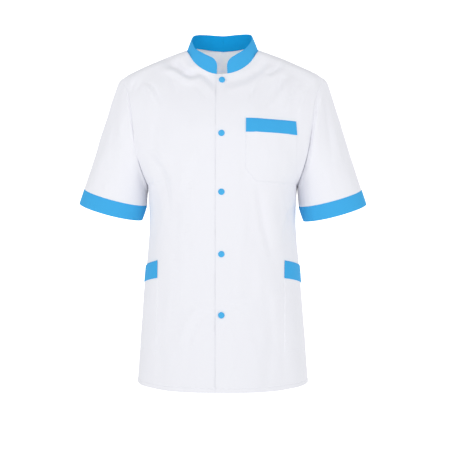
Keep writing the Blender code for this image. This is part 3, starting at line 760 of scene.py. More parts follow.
def collar_point(angle, height, side):
    """A point of the collar: height is 0 at the neck seam and 1 at the top edge."""
    turn = np.radians(angle)
    ahead, behind = np.clip(np.cos(turn), 0, 1), np.clip(-np.cos(turn), 0, 1)
    foot = neck(angle)
    top = np.stack([
        COLLAR_TOP_HALF_WIDTHS[side > 0] * np.sin(turn),
        COLLAR_TOP_BACK * behind - COLLAR_TOP_FRONT * ahead,
        read_table(COLLAR_TOP, angle, 2 if side > 0 else 1),
    ], axis=-1)
    t = height[..., None]
    point = foot * (1 - t) + top * t
    point[..., 1] += lap_sink(foot[..., 0]) * (angle < 90) * (side < 0)
    return point * np.array([side, 1, 1])


# How far the worn cloth stands off that form.


def fold_height(table, x, z):
    """Height of the folds in a table at places on the cloth."""
    total = np.zeros_like(x)
    bend = np.linspace(0, 1, FOLD_STEPS)
    for x0, z0, x1, z1, x2, z2, width, height in table:
        px = (1 - bend) ** 2 * x0 + 2 * bend * (1 - bend) * x1 + bend**2 * x2
        pz = (1 - bend) ** 2 * z0 + 2 * bend * (1 - bend) * z1 + bend**2 * z2
        reach = 3 * width
        near = (x > px.min() - reach) & (x < px.max() + reach) & (z > pz.min() - reach) & (z < pz.max() + reach)
        apart = (x[near][..., None] - px) ** 2 + (z[near][..., None] - pz) ** 2
        nearest = apart.argmin(-1)
        place = FOLD_END_SHARE + (1 - 2 * FOLD_END_SHARE) * bend[nearest]
        fade = np.sin(np.pi * place) ** FOLD_FADE_POWER
        total[near] += height * fade * np.exp(-apart.min(-1) / width**2)
    return total


def ripple(x, z):
    """The slow unevenness of the cloth."""
    total = np.zeros_like(x)
    for wide, long, slant, start, height in RIPPLES:
        bend = start + RIPPLE_BEND * np.sin(2 * np.pi * z / long + start)
        total += height * np.sin(2 * np.pi * (x + slant * z) / wide + bend)
    return total


def seam_dip(distance, place, share=1):
    """Cloth drawn in at a seam, with small puckers. place runs along the seam."""
    draw = -SEAM_DEPTH * share * np.exp(-((distance / SEAM_WIDTH) ** 2) / np.maximum(share, 1))
    uneven = sum(part * np.sin(place / length + start) for length, start, part in PUCKER_WAVES)
    return draw + PUCKER / 2 * uneven * close(distance, PUCKER_REACH)


def arm_seam_share(z, side):
    """How strongly the armhole seam of a side draws in its cloth at a level."""
    levels, shares = np.array(ARM_SEAM[side]).T
    return np.interp(z, levels, shares)


def seam_distances(row, across):
    """Distances of places on the body from the outer seam, the neck seam and the shoulder seam."""
    def far(start, end, step):
        return np.linalg.norm(end - start, axis=-1) / step

    outer = (1 - across) * far(body_point(row, np.full_like(across, 0.98)), outer_line(row), 0.02)
    inner = across * far(centre_line(row), body_point(row, np.full_like(across, 0.02)), 0.02)
    top = np.full_like(across, float(SHOULDER_ROW))
    shoulder = np.abs(row - SHOULDER_ROW) * far(body_point(top - 0.05, across), body_point(top, across), 0.05)
    return outer, np.where(np.minimum(row, LAST_ROW - row) >= NECK_ROW, inner, 99), shoulder


def lap_rise(x, z, side):
    """How the closure's free edge stands up on the wearer's left."""
    flare = np.full_like(x, LAP_FLARE)
    for level, reach, height in LAP_GAPES:
        flare += height * close(z - level, reach)
    shape = flare * close(x + LAP_STATIONS[0], LAP_FLARE_REACH)
    return np.where((side > 0) & (x < LAP_FLARE_END), shape, 0)


def cloth_height(row, across, sign, side):
    """How far the worn cloth stands off the plain body. side is the wearer's: 1 left, -1 right."""
    p = body_point(row, across)
    x, z = sign * p[..., 0], p[..., 2]
    is_front = row < SHOULDER_ROW
    edge = ease((1 - across) / SEAM_FADE) * ease(np.abs(row - SHOULDER_ROW) / SHOULDER_FADE)
    outer, inner, shoulder = apart = seam_distances(row, across)
    free = math.prod(ease(distance / clear) for distance, clear in zip(apart, BODY_CLEAR))
    front, back = (
        fold_height(folds, x, z) * edge + fold_height(creases, x, z) * free
        for folds, creases in ((FRONT_FOLDS, YOKE_CREASES + FRONT_CREASES), (BACK_FOLDS, BACK_CREASES))
    )
    turn = np.arctan2(p[..., 1], x)
    wave = HEM_WAVE_HEIGHT * np.sin(HEM_WAVES * turn + HEM_WAVE_UNEVEN * np.sin(2 * turn))
    closure = np.where(is_front, ease(np.abs(x) / LAP_FADE[0]), 1)
    drop = ease((HEM_WAVE_FROM - z) / (HEM_WAVE_FROM - BODY_ROWS[0][0]))
    slow = ripple(x + np.where(is_front, 0, BACK_RIPPLE_SHIFT), z)
    total = np.where(is_front, front, back) + wave * closure * drop + slow * free * closure
    net = along(row)
    total += seam_dip(outer, net, arm_seam_share(z, side)) + seam_dip(inner, NECK_PACE * net)
    total += seam_dip(shoulder, SHOULDER_PACE * across)
    crest = SHOULDER_CREST * close(shoulder, CREST_REACH)
    full = SHOULDER_FULL * is_front * close(shoulder - FULL_FROM_SEAM, FULL_REACH)
    total += (crest + full) * ease(outer / CREST_FADE) + is_front * lap_rise(x, z, side)
    hem = np.minimum(net, ALONG[-1] - net)
    total += HEM_PROUD[0] * HEM_FOLD * ease((HEM_TURN - hem) / HEM_PROUD[1])
    return total - HEM_GROOVE[0] * close(hem - HEM_TURN, HEM_GROOVE[1])


def body_cloth(row, across, side, sink=0, lap=None):
    """Outer points and directions of the worn cloth. lap marks places that lie across the centre line."""
    sign = np.full(across.shape, float(side))
    if lap is not None:
        sign[lap] = -side
    normal = body_normal(row, across)
    point = body_point(row, across) + (cloth_height(row, across, sign, side) - sink)[..., None] * normal
    hem = np.minimum(along(row), ALONG[-1] - along(row))
    lift = ease((across - CORNER_SHARE) / (CORNER_FULL - CORNER_SHARE)) * ease(1 - hem / CORNER_REACH)
    point[..., 2] += CORNER_LIFT * lift
    point[..., 0] *= sign
    normal[..., 0] *= sign
    return point, normal


def front_cloth(row, across, side):
    """Outer points and directions of a front beside its lap."""
    return body_cloth(row, across, side, lap_sink(body_point(row, across)[..., 0]) if side < 0 else 0)


# Meshes and pieces.


def lay_grid(mesh, points, out, flat, keep=None):
    """Adds a grid shaped to points, facing out, with its flat places in millimetres as its UV map."""
    rows, columns = points.shape[:2]
    made = bmesh.ops.create_grid(mesh, x_segments=columns - 1, y_segments=rows - 1, size=0.5)["verts"]
    uv = mesh.loops.layers.uv.verify()
    place = {}
    faces = set()
    for vert in made:
        place[vert] = (round((vert.co.y + 0.5) * (rows - 1)), round((vert.co.x + 0.5) * (columns - 1)))
        faces.update(vert.link_faces)
    for vert, (i, j) in place.items():
        vert.co = points[i, j] * MM
    dropped = []
    turned = 0.0
    for face in faces:
        face.normal_update()
        for loop in face.loops:
            loop[uv].uv = flat[place[loop.vert]] * MM
        i, j = map(min, zip(*(place[vert] for vert in face.verts)))
        turned += face.normal.dot(Vector(out[i, j])) * face.calc_area()
        if keep is not None and not keep[i, j]:
            dropped.append(face)
    if turned < 0:
        bmesh.ops.reverse_faces(mesh, faces=list(faces))
    bmesh.ops.delete(mesh, geom=dropped, context="FACES")


def show(name, data):
    """A new object in the scene."""
    made = bpy.data.objects.new(name, data)
    bpy.context.scene.collection.objects.link(made)
    return made


def show_mesh(name, mesh, finishes):
    """A new object in the scene made from a mesh."""
    data = bpy.data.meshes.new(name)
    mesh.to_mesh(data)
    mesh.free()
    for finish in finishes:
        data.materials.append(finish)
    return show(name, data)


def add_piece(name, mesh, look, *nodes):
    """A finished piece that stands for its solids. look is its slot, which is not used, and its finishes."""
    piece = show_mesh(name, mesh, look[1])
    piece.data.shade_smooth()
    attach(piece, "root")
    if nodes:
        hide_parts(*nodes)
    return piece


def add_cloth(node, mesh, look, thick, rounding=EDGE_ROUND):
    """A shell in place of a solid, thickened inwards to its last finish and rounded at its edges."""
    bmesh.ops.remove_doubles(mesh, verts=mesh.verts, dist=MERGE)
    piece = add_piece(f"{node}_cloth", mesh, look, node)
    wall = piece.modifiers.new("Wall", "SOLIDIFY")
    wall.thickness = thick * MM
    wall.offset = -1
    wall.material_offset = len(look[1]) - 1
    rounded = piece.modifiers.new("Rounded edges", "BEVEL")
    rounded.limit_method = "ANGLE"
    rounded.angle_limit = SHARP
    rounded.width = rounding * MM
    rounded.segments = 2
    return piece


def distances(length, step, longest, start=SEAM_STATIONS, end=SEAM_STATIONS):
    """Distances along lines of different lengths, close-set at both ends and about a step apart between."""
    length = np.asarray(length, float)[:, None]
    count = max(2, round((longest - start[-1] - end[-1]) / step))
    share = np.arange(1, count) / count
    middle = start[-1] + share * (length - start[-1] - end[-1])
    first = np.broadcast_to(np.array(start, float), (len(length), len(start)))
    return np.concatenate([first, middle, length - np.array(end[::-1], float)], axis=1)


def measure_rows(row):
    """Places across each row and their distances from its inner end."""
    places = np.linspace(0, 1, ROW_SAMPLES)
    points = body_point(row[:, None] + 0 * places, places + 0 * row[:, None])
    steps = np.linalg.norm(np.diff(points, axis=1), axis=-1)
    return places, np.concatenate([np.zeros((len(row), 1)), np.cumsum(steps, axis=1)], axis=1)


def across_at(row, x):
    """The place across each row that is x from the centre."""
    low, high = np.zeros_like(x), np.ones_like(x)
    for _ in range(HALVINGS):
        middle = (low + high) / 2
        short = body_point(row, middle)[..., 0] < x
        low, high = np.where(short, middle, low), np.where(short, high, middle)
    return (low + high) / 2


def panel_rows(step):
    """Distances along the net from the hem to the shoulder seam."""
    neck_at, top = along(NECK_ROW), along(SHOULDER_ROW)
    count = round((neck_at - HEM_STATIONS[-1]) / step)
    body = HEM_STATIONS[-1] + (neck_at - HEM_STATIONS[-1]) * np.arange(1, count + 1) / count
    yoke_count = round((top - neck_at) / (YOKE_STEP_SHARE * step))
    yoke = neck_at + (top - SEAM_STATIONS[-1] / 2 - neck_at) * np.arange(1, yoke_count) / yoke_count
    ends = top - np.array(SEAM_STATIONS[::-1]) / 2
    return np.concatenate([HEM_STATIONS, body, yoke, ends])


def hem_fold(points, out, flat):
    """Adds the rows of the turned hem inside the first row of a panel."""
    down = unit(points[0] - points[2])
    first = points[0] + HEM_STATIONS[0] * down
    rows, outs, flats = [], [], []
    for inside in HEM_INSIDE:
        rows.append(first - inside * down - 2 * HEM_FOLD * out[0])
        outs.append(-out[0])
        flats.append(flat[0] - [0, HEM_STATIONS[0] + inside])
    for turn in (135, 90, 45):
        swing = math.radians(turn)
        centre = first - HEM_FOLD * down - HEM_FOLD * out[0]
        aim = math.cos(swing) * out[0] + math.sin(swing) * down
        rows.append(centre + HEM_FOLD * aim)
        outs.append(aim)
        flats.append(flat[0] - [0, HEM_STATIONS[0]])
    return (
        np.concatenate([rows, points]),
        np.concatenate([outs, out]),
        np.concatenate([flats, flat]),
    )


def panel_grid(step, back=False, lap=()):
    """Rows, places across and flat places of half a panel, with the lines of its lap first."""
    distance = panel_rows(step)
    row = LAST_ROW - row_along(distance) if back else row_along(distance)
    places, reach = measure_rows(row)
    length = reach[:, -1]
    lines = np.broadcast_to(-np.array(lap, float), (len(row), len(lap)))
    x = np.concatenate([lines, distances(length, step, length.max())], axis=1)
    across = np.array([np.interp(np.abs(line), ends, places) for line, ends in zip(x, reach)])
    flat = np.stack([x, distance[:, None] + 0 * x], axis=-1)
    return np.repeat(row[:, None], x.shape[1], axis=1), across, flat


def make_front(name, side, look):
    row, across, flat = panel_grid(PANEL_STEP, lap=LAP_STATIONS)
    lap = np.zeros(across.shape, bool)
    lap[:, : len(LAP_STATIONS)] = True
    keep = ~(lap & (row >= NECK_ROW - 1e-6))
    row = np.where(lap, np.minimum(row, NECK_ROW), row)
    sink = lap_sink(np.where(lap, 0, body_point(row, across)[..., 0])) if side < 0 else 0
    points, out = body_cloth(row, across, side, sink, lap)
    points, out, flat = hem_fold(points, out, flat * [side, 1])
    keep = np.concatenate([keep[: len(points) - len(keep)], keep])
    mesh = bmesh.new()
    lay_grid(mesh, points, out, flat, keep)
    return add_cloth(f"front_{name}", mesh, look, CLOTH)


def make_back(look):
    row, across, flat = panel_grid(BACK_STEP, back=True)
    centre = row[:, 0] >= LAST_ROW - NECK_ROW - 1e-6
    mesh = bmesh.new()
    for side in (-1, 1):
        points, out = body_cloth(row, across, side)
        points[centre, 0, 0] = out[centre, 0, 0] = 0
        lay_grid(mesh, *hem_fold(points, out, flat * [side, 1]))
    return add_cloth("back", mesh, look, CLOTH)


def arm_loop(step):
    """Row numbers round the armhole, from the underarm over the shoulder and back."""
    first, last = along(UNDERARM_ROW), along(LAST_ROW - UNDERARM_ROW)
    return row_along(np.linspace(first, last, round((last - first) / step)))


def squared(point, row, share):
    """Makes a tube round the arm squarer towards the underarm, with a closed inner edge.

    share is how much of it is there."""
    aside, ahead, _ = arm_axes()
    turn = arm_turn(row)
    turn = np.minimum(turn, 2 * math.pi - turn)
    power = UNDERARM_SQUARE * close(turn, SQUARE_REACH) * share
    grow = np.maximum(np.sin(np.minimum(turn, math.pi / 2)), 0.02) ** -power
    grow *= 1 - UNDERARM_PINCH * close(turn, PINCH_REACH) * share
    inner, outer = (point[:1] + point[-1:]) / 2, point[len(point) // 2 : len(point) // 2 + 1]
    deep = ((point - inner) * ahead).sum(-1)
    wide = ((point - (inner + outer) / 2) * aside).sum(-1)
    spread = SQUARE_SIDE * share * np.sin(np.minimum(2 * turn, math.pi)) ** 2
    return point + ((grow - 1) * deep)[..., None] * ahead + (spread * wide)[..., None] * aside


def sleeve_cloth(row, down, name, length):
    """Outer points and directions of a sleeve, before it is turned to its own side."""
    point, out = sleeve_point(row, down), tube_normal(sleeve_point, row, down)
    point = squared(point, row, ease(down / SQUARE_FROM))
    turn = arm_turn(row)
    x, z = point[..., 0], point[..., 2]
    front = fold_height(SLEEVE_CREASES[name, "front"], x, z) * ease(EDGE_CLEAR * np.sin(turn))
    back = fold_height(SLEEVE_CREASES[name, "back"], x, z) * ease(-EDGE_CLEAR * np.sin(turn))
    from_top, from_foot = down * length, (1 - down) * length
    shift = SLEEVE_RIPPLE_SHIFT[name]
    slow = SLEEVE_RIPPLE * ripple(point[..., 1] + x + shift, z + shift)
    height = (front + back + slow) * (ease(from_top / SLEEVE_CLEAR[0]) * ease(from_foot / SLEEVE_CLEAR[1]))
    net, seam = along(row), arm_seam_share(z, 1 if name == "left" else -1)
    height += seam_dip(from_top, HEAD_PACE * net, seam) + seam_dip(from_foot, CUFF_PACE * net)
    roll, place, reach = HEAD_ROLL
    swell = roll * close(from_top - place, reach) * (1 - np.cos(turn)) / 2
    if name == "left":
        levels, heights, reaches = np.array(FRONT_SWELL).T
        high, reach = np.interp(-z, -levels, heights), np.interp(-z, -levels, reaches)
        rise = 1 - close(np.maximum(from_top - SWELL_START, 0), reach)
        places = ((from_top, SINK_DISTANCE), (z, SINK_LEVEL))
        sink = np.exp(-sum(((value - place) / reach) ** 2 for value, (place, reach) in places))
        swell -= SINK * sink * (turn < math.pi)
        rise = rise * close(from_top, SWELL_FADE) * ease(SWELL_SIDE * np.sin(turn))
        swell += high * rise * ease(from_foot / SWELL_END)
    point[..., 2] -= ARM_DROP[name] * ease(down)
    return point + (height + swell)[..., None] * out, out


def make_tube(node, side, cloth, row, length, distance, look, *wall):
    """A tube round the arm. cloth gives its points and directions at rows and shares of the way down."""
    grid = np.repeat(row[:, None], distance.shape[1], axis=1)
    points, out = cloth(grid, distance / length[:, None])
    out[0] = out[-1] = unit(out[0] + out[-1])
    points[0] = points[-1] = (points[0] + points[-1]) / 2
    flip = np.array([side, 1, 1])
    mesh = bmesh.new()
    lay_grid(mesh, points * flip, out * flip, np.stack([along(grid) - along(UNDERARM_ROW), distance], axis=-1))
    return add_cloth(node, mesh, look, *wall)


def cuff_cloth(row, down, name):
    """Outer points and directions of a cuff, before it is turned to its own side."""
    point, out = cuff_point(row, down), tube_normal(cuff_point, row, down)
    point = squared(point, row, 1)
    point[..., 2] -= ARM_DROP[name]
    turn = arm_turn(row)
    wave = sum(high * np.sin(number * turn + start + twist * down) for high, number, start, twist in CUFF_WAVES)
    puff = CUFF_PROUD * np.sin(np.pi * np.clip(down, 0, 1)) ** 0.5
    tuck = CUFF_TUCK[0] * close(down * CUFF_HEIGHT, CUFF_TUCK[1])
    return point + (wave * down + puff - tuck)[..., None] * out, out


def make_arm(name, side, white, blue):
    """A sleeve and its cuff."""
    row = arm_loop(PANEL_STEP)
    length = np.linalg.norm(cuff_point(row, np.zeros(row.shape)) - armhole(row), axis=-1)
    distance = distances(length, PANEL_STEP, length.max())
    distance[:, 0] -= SLEEVE_PAST_SEAM
    distance[:, -1] += SLEEVE_PAST_SEAM

    def sleeve(rows, down):
        return sleeve_cloth(rows, down, name, length[:, None])

    def cuff(rows, down):
        return cuff_cloth(rows, down, name)

    height = np.full(row.shape, CUFF_HEIGHT)
    rings = distances(height, CUFF_STEP, CUFF_HEIGHT)
    return (
        make_tube(f"sleeve_{name}", side, sleeve, row, length, distance, white, CLOTH),
        make_tube(f"cuff_{name}", side, cuff, row, height, rings, blue, CUFF_WALL, CUFF_ROUND),
    )


def collar_cloth(angle, height, side):
    """Outer points and directions of the collar."""
    ahead = collar_point(angle + 0.5, height, side) - collar_point(angle - 0.5, height, side)
    up = collar_point(angle, height + 0.02, side) - collar_point(angle, height - 0.02, side)
    out = unit(np.cross(ahead, up)) * side
    swing = np.radians(angle)
    crown = COLLAR_CROWN * np.sin(np.pi * np.clip(height, 0, 1))
    (lean, leans), (start, apart), (uneven, waves) = COLLAR_LEAN, COLLAR_LEAN_START, COLLAR_UNEVEN
    lean = lean * height * np.sin(leans * swing + start + apart * side)
    uneven = uneven * np.sin(waves * swing + side) * (1 - height)
    return collar_point(angle, height, side) + (crown + lean + uneven)[..., None] * out, out


def collar_start(height, inset=0):
    """The angle of the collar's rounded front end at each height, or of a line inset from its edge."""
    corner = COLLAR_CORNER - inset
    over = np.clip(COLLAR_HIGH * (height - 1) + inset + corner, 0, corner)
    return COLLAR_END_ANGLE + np.degrees((inset + corner - np.sqrt(corner**2 - over**2)) / NECK_HALF_WIDTH)


def make_collar(look):
    share = distances([1], COLLAR_STEP, 1, *COLLAR_ENDS)[0]
    height, place = np.meshgrid(COLLAR_HEIGHTS, share, indexing="ij")
    start = collar_start(height)
    angle = start + place * (180 - start)
    mesh = bmesh.new()
    for side in (-1, 1):
        points, out = collar_cloth(angle, height, side)
        flat = np.stack([side * np.radians(angle) * NECK_HALF_WIDTH, height * COLLAR_HIGH], axis=-1)
        if side > 0:
            points[:, -1] = (points[:, -1] + seam) / 2
        seam = points[:, -1].copy()
        seam[:, 0] = 0
        points[:, -1] = seam
        lay_grid(mesh, points, out, flat)
    return add_cloth("collar", mesh, look, COLLAR_WALL, COLLAR_ROUND)


def side_pocket_place(level, share, side):
    """Row and across of a side pocket's place, with share 0 at its front edge and 1 at the side seam."""
    first = across_at(row_at(level), np.full_like(level, float(SIDE_POCKET_INNER[side])))
    slant = SIDE_POCKET_SLANT * np.interp(level, SLANT_LEVELS, (0, 1, 1, 0))
    return row_at(level - slant * share), first + share * (1 - first)


def chest_pocket_place(level, share, _):
    """Row and across of a chest pocket's place, with share 0 at its inner edge and 1 at its outer."""
    top, seam, foot = CHEST_POCKET_LEVELS
    lean = CHEST_POCKET_LEAN * np.clip((level - seam) / (top - seam), 0, 1)
    row = row_at(level - np.interp(level, (foot, top), CHEST_POCKET_SLANTS[::-1]) * share)
    return row, across_at(row, CHEST_POCKET_INNER + share * (CHEST_POCKET_WIDE - lean))


def bevel(x):
    """How far the chest pocket's foot is cut up, x from its inner edge."""
    inner, outer = BEVEL_WIDTHS
    return BEVEL_HIGH * np.maximum(np.maximum(1 - x / inner, 1 - (CHEST_POCKET_WIDE - x) / outer), 0)


def make_patch(node, side, place, wide, low, high, look, form, cut=None, sewn_top=False):
    """A pocket or band that lies on a front between two levels. cut gives how far its foot is cut up."""
    up, across = (distances([size], POCKET_STEP, size)[0] / size for size in (high - low, wide))
    up, share = np.meshgrid(up, across, indexing="ij")
    foot = low + (cut(share * wide) if cut else 0)
    level = foot + up * (high - foot)
    edge = np.minimum(np.minimum(share, 1 - share) * wide, level - foot)
    if sewn_top:
        edge = np.minimum(edge, high - level)
    lift, wall, swell = form
    points, out = front_cloth(*place(level, share, side), side)
    lift = lift - PATCH_EDGE[0] * close(edge, PATCH_EDGE[1]) + swell * ease(edge / PATCH_SWELL_REACH)
    points = points + lift[..., None] * out
    flat = np.stack([side * share * np.linalg.norm(points[0, -1] - points[0, 0]), level], axis=-1)
    mesh = bmesh.new()
    lay_grid(mesh, points, out, flat)
    return add_cloth(node, mesh, look, wall)


def sew(mesh, points, out, pitch=STITCH_PITCH):
    """Adds a row of stitches along a line on the cloth."""
    reach = np.concatenate([[0], np.cumsum(np.linalg.norm(np.diff(points, axis=0), axis=1))])
    count = int(reach[-1] / pitch)
    middle = (np.arange(count) + 0.5) * reach[-1] / count

    def read(values, at):
        return np.stack([np.interp(at, reach, values[:, k]) for k in range(3)], axis=-1)

    ahead = unit(read(points, middle + STITCH_LENGTH / 2) - read(points, middle - STITCH_LENGTH / 2))
    aside = unit(np.cross(read(out, middle), ahead))
    up = np.cross(ahead, aside)
    place = read(points, middle) + STITCH_LIFT * up
    for at, x, y, z in zip(place, aside * STITCH_WIDTH / 2, up * STITCH_WIDTH / 2, ahead * STITCH_LENGTH / 2):
        turn = Matrix(np.stack([x, y, z, at], axis=-1).tolist() + [[0, 0, 0, 1]])
        turn.translation *= MM
        bmesh.ops.create_uvsphere(mesh, u_segments=5, v_segments=4, radius=MM, matrix=turn)


def hem_stitches(name, sides, back, look):
    """The line that holds the turned hem, above the fold."""
    mesh = bmesh.new()
    for side in sides:
        across = np.linspace(0, HEM_LINE_END, HEM_POINTS)
        row = row_along(HEM_TURN + 0 * across)
        if back:
            sew(mesh, *body_cloth(LAST_ROW - row, across, side))
            continue
        sew(mesh, *front_cloth(row, across, side))
        places, reach = measure_rows(row[:1])
        near = np.interp(np.sort(LAP_STATIONS[:0:-1] + LAP_STATIONS[2:3]), reach[0], places)
        sink = lap_sink(0 * near) if side < 0 else 0
        sew(mesh, *body_cloth(row[: len(near)], near, side, sink, np.ones(near.shape, bool)))
    return add_piece(name, mesh, look)


def sew_patch(name, side, place, lines, lift, look):
    """Sews a patch along lines between their corners, as levels and shares."""
    mesh = bmesh.new()
    for corners in lines:
        at = np.linspace(0, len(corners) - 1, PATCH_POINTS * (len(corners) - 1) + 1)
        level, share = (np.interp(at, np.arange(len(corners)), numbers) for numbers in zip(*corners))
        points, out = front_cloth(*place(level, share, side), side)
        sew(mesh, points + lift * out, out)
    return add_piece(name, mesh, look)


def make_pocket(nodes, side, place, wide, levels, form, corners, end, looks, cut=None):
    """A patch pocket and its band on a front, each sewn.

    corners are those of the pocket's sewing, and the band's two lines stop at the share end."""
    white, blue, white_thread, blue_thread = looks
    top, seam, foot = levels
    bag = make_patch(nodes[0], side, place, wide, foot, seam, white, form, cut)
    band = make_patch(nodes[1], side, place, wide, seam - BAND_LAP, top, blue, BAND_FORM, sewn_top=True)
    lines = [((line, LINE_START), (line, end)) for line in (seam + BAND_STITCH, top - BAND_STITCH)]
    threads = (
        sew_patch(f"{nodes[0]}_stitches", side, place, [corners], form[0] - THREAD_SINK[0], white_thread),
        sew_patch(f"{nodes[1]}_stitches", side, place, lines, BAND_FORM[0] - THREAD_SINK[1], blue_thread),
    )


def make_side_pocket(name, side, looks):
    inset = EDGE_STITCH / SIDE_POCKET_WIDE
    _, seam, foot = SIDE_POCKET_LEVELS
    low = foot + EDGE_STITCH
    corners = ((seam - BELOW_BAND, inset), (low, inset), (low, SIDE_LINE_END))
    make_pocket(
        (f"side_pocket_{name}", f"side_pocket_band_{name}"), side, side_pocket_place,
        SIDE_POCKET_WIDE, SIDE_POCKET_LEVELS, SIDE_POCKET_FORM, corners, SIDE_LINE_END, looks,
    )


def make_chest_pocket(looks):
    wide, (_, seam, foot) = CHEST_POCKET_WIDE, CHEST_POCKET_LEVELS
    inset = EDGE_STITCH / wide
    inner = BEVEL_WIDTHS[0] / wide + BEVEL_INSET * inset
    outer = 1 - BEVEL_WIDTHS[1] / wide - BEVEL_INSET * inset
    high, low, bevelled = seam - BELOW_BAND, foot + EDGE_STITCH, foot + BEVEL_HIGH + BEVEL_RAISE
    corners = (
        (high, inset), (bevelled, inset), (low, inner), (low, outer), (bevelled, 1 - inset), (high, 1 - inset),
    )
    make_pocket(
        ("chest_pocket", "chest_pocket_band"), 1, chest_pocket_place, wide, CHEST_POCKET_LEVELS,
        CHEST_POCKET_FORM, corners, CHEST_LINE_END, looks, bevel,
    )


def collar_stitches(look):
    mesh = bmesh.new()
    top = 1 - COLLAR_STITCH / COLLAR_HIGH
    end, along_top = COLLAR_POINTS
    height = np.concatenate([np.linspace(COLLAR_LINE_START, top, end), np.full(along_top, top)])
    start = collar_start(height[:end], COLLAR_STITCH)
    angle = np.concatenate([start, np.linspace(start[-1], 180, along_top + 1)[1:]])
    for side in (-1, 1):
        sew(mesh, *collar_cloth(angle, height, side))
    return add_piece("collar_stitches", mesh, look)


def make_turned(name, profile, point, out, look, node):
    """A turned snap part that stands on point and faces out."""
    mesh = bmesh.new()
    corners = [mesh.verts.new((radius * MM, 0, height * MM)) for radius, height in profile]
    lines = [mesh.edges.new(pair) for pair in zip(corners, corners[1:])]
    whole = {"cent": (0, 0, 0), "axis": (0, 0, 1), "angle": 2 * math.pi, "use_merge": True}
    bmesh.ops.spin(mesh, geom=corners + lines, steps=TURNED_STEPS, **whole)
    bmesh.ops.remove_doubles(mesh, verts=mesh.verts, dist=MERGE)
    bmesh.ops.recalc_face_normals(mesh, faces=mesh.faces)
    turn = Vector(out).to_track_quat("Z", "Y").to_matrix().to_4x4()
    bmesh.ops.transform(mesh, matrix=Matrix.Translation(Vector(point) * MM) @ turn, verts=mesh.verts)
    add_piece(name, mesh, look, node)


def make_snaps(look):
    rows = np.linspace(0, NECK_ROW, SNAP_SAMPLES)
    heights = centre_line(rows)[:, 2]
    for number, level in enumerate(SNAP_LEVELS, start=1):
        row = np.array([np.interp(level, heights, rows)])
        point, out = body_point(row, np.array([0.0]))[0], body_normal(row, np.array([0.0]))[0]
        ahead = unit(out * np.array([1, 1, CAP_LEAN]))
        lift = SNAP_LIFT + CAP_RAISE * np.linalg.norm(ahead - out)
        make_turned(f"snap_{number}_cap", CAP_PROFILE, point + lift * out, ahead, look, f"snap_{number}")
        inner = point - SNAP_BACK_DEPTH * out
        make_turned(f"snap_{number}_stud", STUD_PROFILE, inner, -out, look, f"snap_back_{number}")


# Finishes.


def operator(name, turned=False):
    """The method of an operator on values, which adds its Math node."""
    def apply(self, other):
        pair = (other, self) if turned else (self, other)
        return self.finish.node("ShaderNodeMath", {"operation": name}, pair)
    return apply


class Value:
    """A socket of a finish that works like a number."""

    __add__, __radd__ = operator("ADD"), operator("ADD", True)
    __sub__, __rsub__ = operator("SUBTRACT"), operator("SUBTRACT", True)
    __mul__, __rmul__ = operator("MULTIPLY"), operator("MULTIPLY", True)

    def __init__(self, finish, socket):
        self.finish, self.socket = finish, socket

    def wave(self):
        return self.finish.node("ShaderNodeMath", {"operation": "SINE"}, (self,))


class Finish:
    """A material with its Principled shader, and the nodes that feed it."""

    def __init__(self, name, colour, sockets):
        self.colour = colour
        self.material = bpy.data.materials.new(name)
        self.material.use_nodes = True
        self.material.diffuse_color = (*colour, 1)
        self.tree = self.material.node_tree
        self.shader = self.tree.nodes["Principled BSDF"]
        self.feed(self.shader, {"Base Color": (*colour, 1), **sockets})

    def feed(self, node, inputs):
        """Gives sockets of a node their values or links."""
        for socket, value in inputs.items():
            if isinstance(value, Value):
                self.tree.links.new(value.socket, node.inputs[socket])
            else:
                node.inputs[socket].default_value = value

    def node(self, kind, settings, inputs, output=0):
        """A node of a kind, its settings made first, then the values or links of its sockets."""
        made = self.tree.nodes.new(kind)
        for name, value in settings.items():
            setattr(made, name, value)
        self.feed(made, inputs if isinstance(inputs, dict) else dict(enumerate(inputs)))
        return Value(self, made.outputs[output])

    def noise(self, place, scale, detail):
        return self.node("ShaderNodeTexNoise", {}, {"Vector": place, "Scale": scale, "Detail": detail})

    def vary(self, mask, dark, light, roughness=None, relief=None, strength=0, depth=0):
        """Varies the colour between two shares of it, and gives the roughness and the relief, if any."""
        tones = [(*(min(1, channel * share) for channel in self.colour), 1) for share in (dark, light)]
        tint = self.node("ShaderNodeMix", {"data_type": "RGBA"}, {0: mask, 6: tones[0], 7: tones[1]}, 2)
        self.feed(self.shader, {"Base Color": tint})
        if relief:
            bump = {"Strength": strength, "Distance": depth * MM, "Height": relief}
            bump = self.node("ShaderNodeBump", {}, bump)
            self.feed(self.shader, {"Roughness": roughness, "Normal": bump})


def cloth_finish(name, colour, shade, roughness, sheen, through=None):
    """Close twill cloth. shade is how much darker its uneven threads are.

    through is how far light spreads in the cloth in each colour, where it shines through."""
    made = Finish(name, colour, {"Sheen Weight": sheen, "Sheen Roughness": 0.5, "Specular IOR Level": 0.2})
    flat = made.node("ShaderNodeUVMap", {"uv_map": "UVMap"}, {})
    across = made.node("ShaderNodeSeparateXYZ", {}, (flat,))
    up = Value(made, across.socket.node.outputs[1])
    pitch = 2 * math.pi / (THREAD_PITCH * MM)
    rib = ((across + up) * (pitch / 2)).wave()
    weave = rib * 0.3 + (across * pitch).wave() * 0.12 + (up * pitch).wave() * 0.08
    warp, weft = (
        made.noise(made.node("ShaderNodeMapping", {}, {"Vector": flat, "Scale": scale}), 1, 2)
        for scale in ((260, 2600, 1), (2600, 260, 1))
    )
    slub = (warp + weft) * 0.5
    mask = slub * 0.75 + made.noise(flat, 22, 3) * 0.25
    made.vary(mask, 1 - shade, 1 + shade, roughness - 0.06 + mask * 0.12, weave * 0.5 + slub * 0.8, 0.35, 0.12)
    if through:
        made.feed(made.shader, {"Subsurface Weight": 1, "Subsurface Radius": through, "Subsurface Scale": MM})
    return made.material


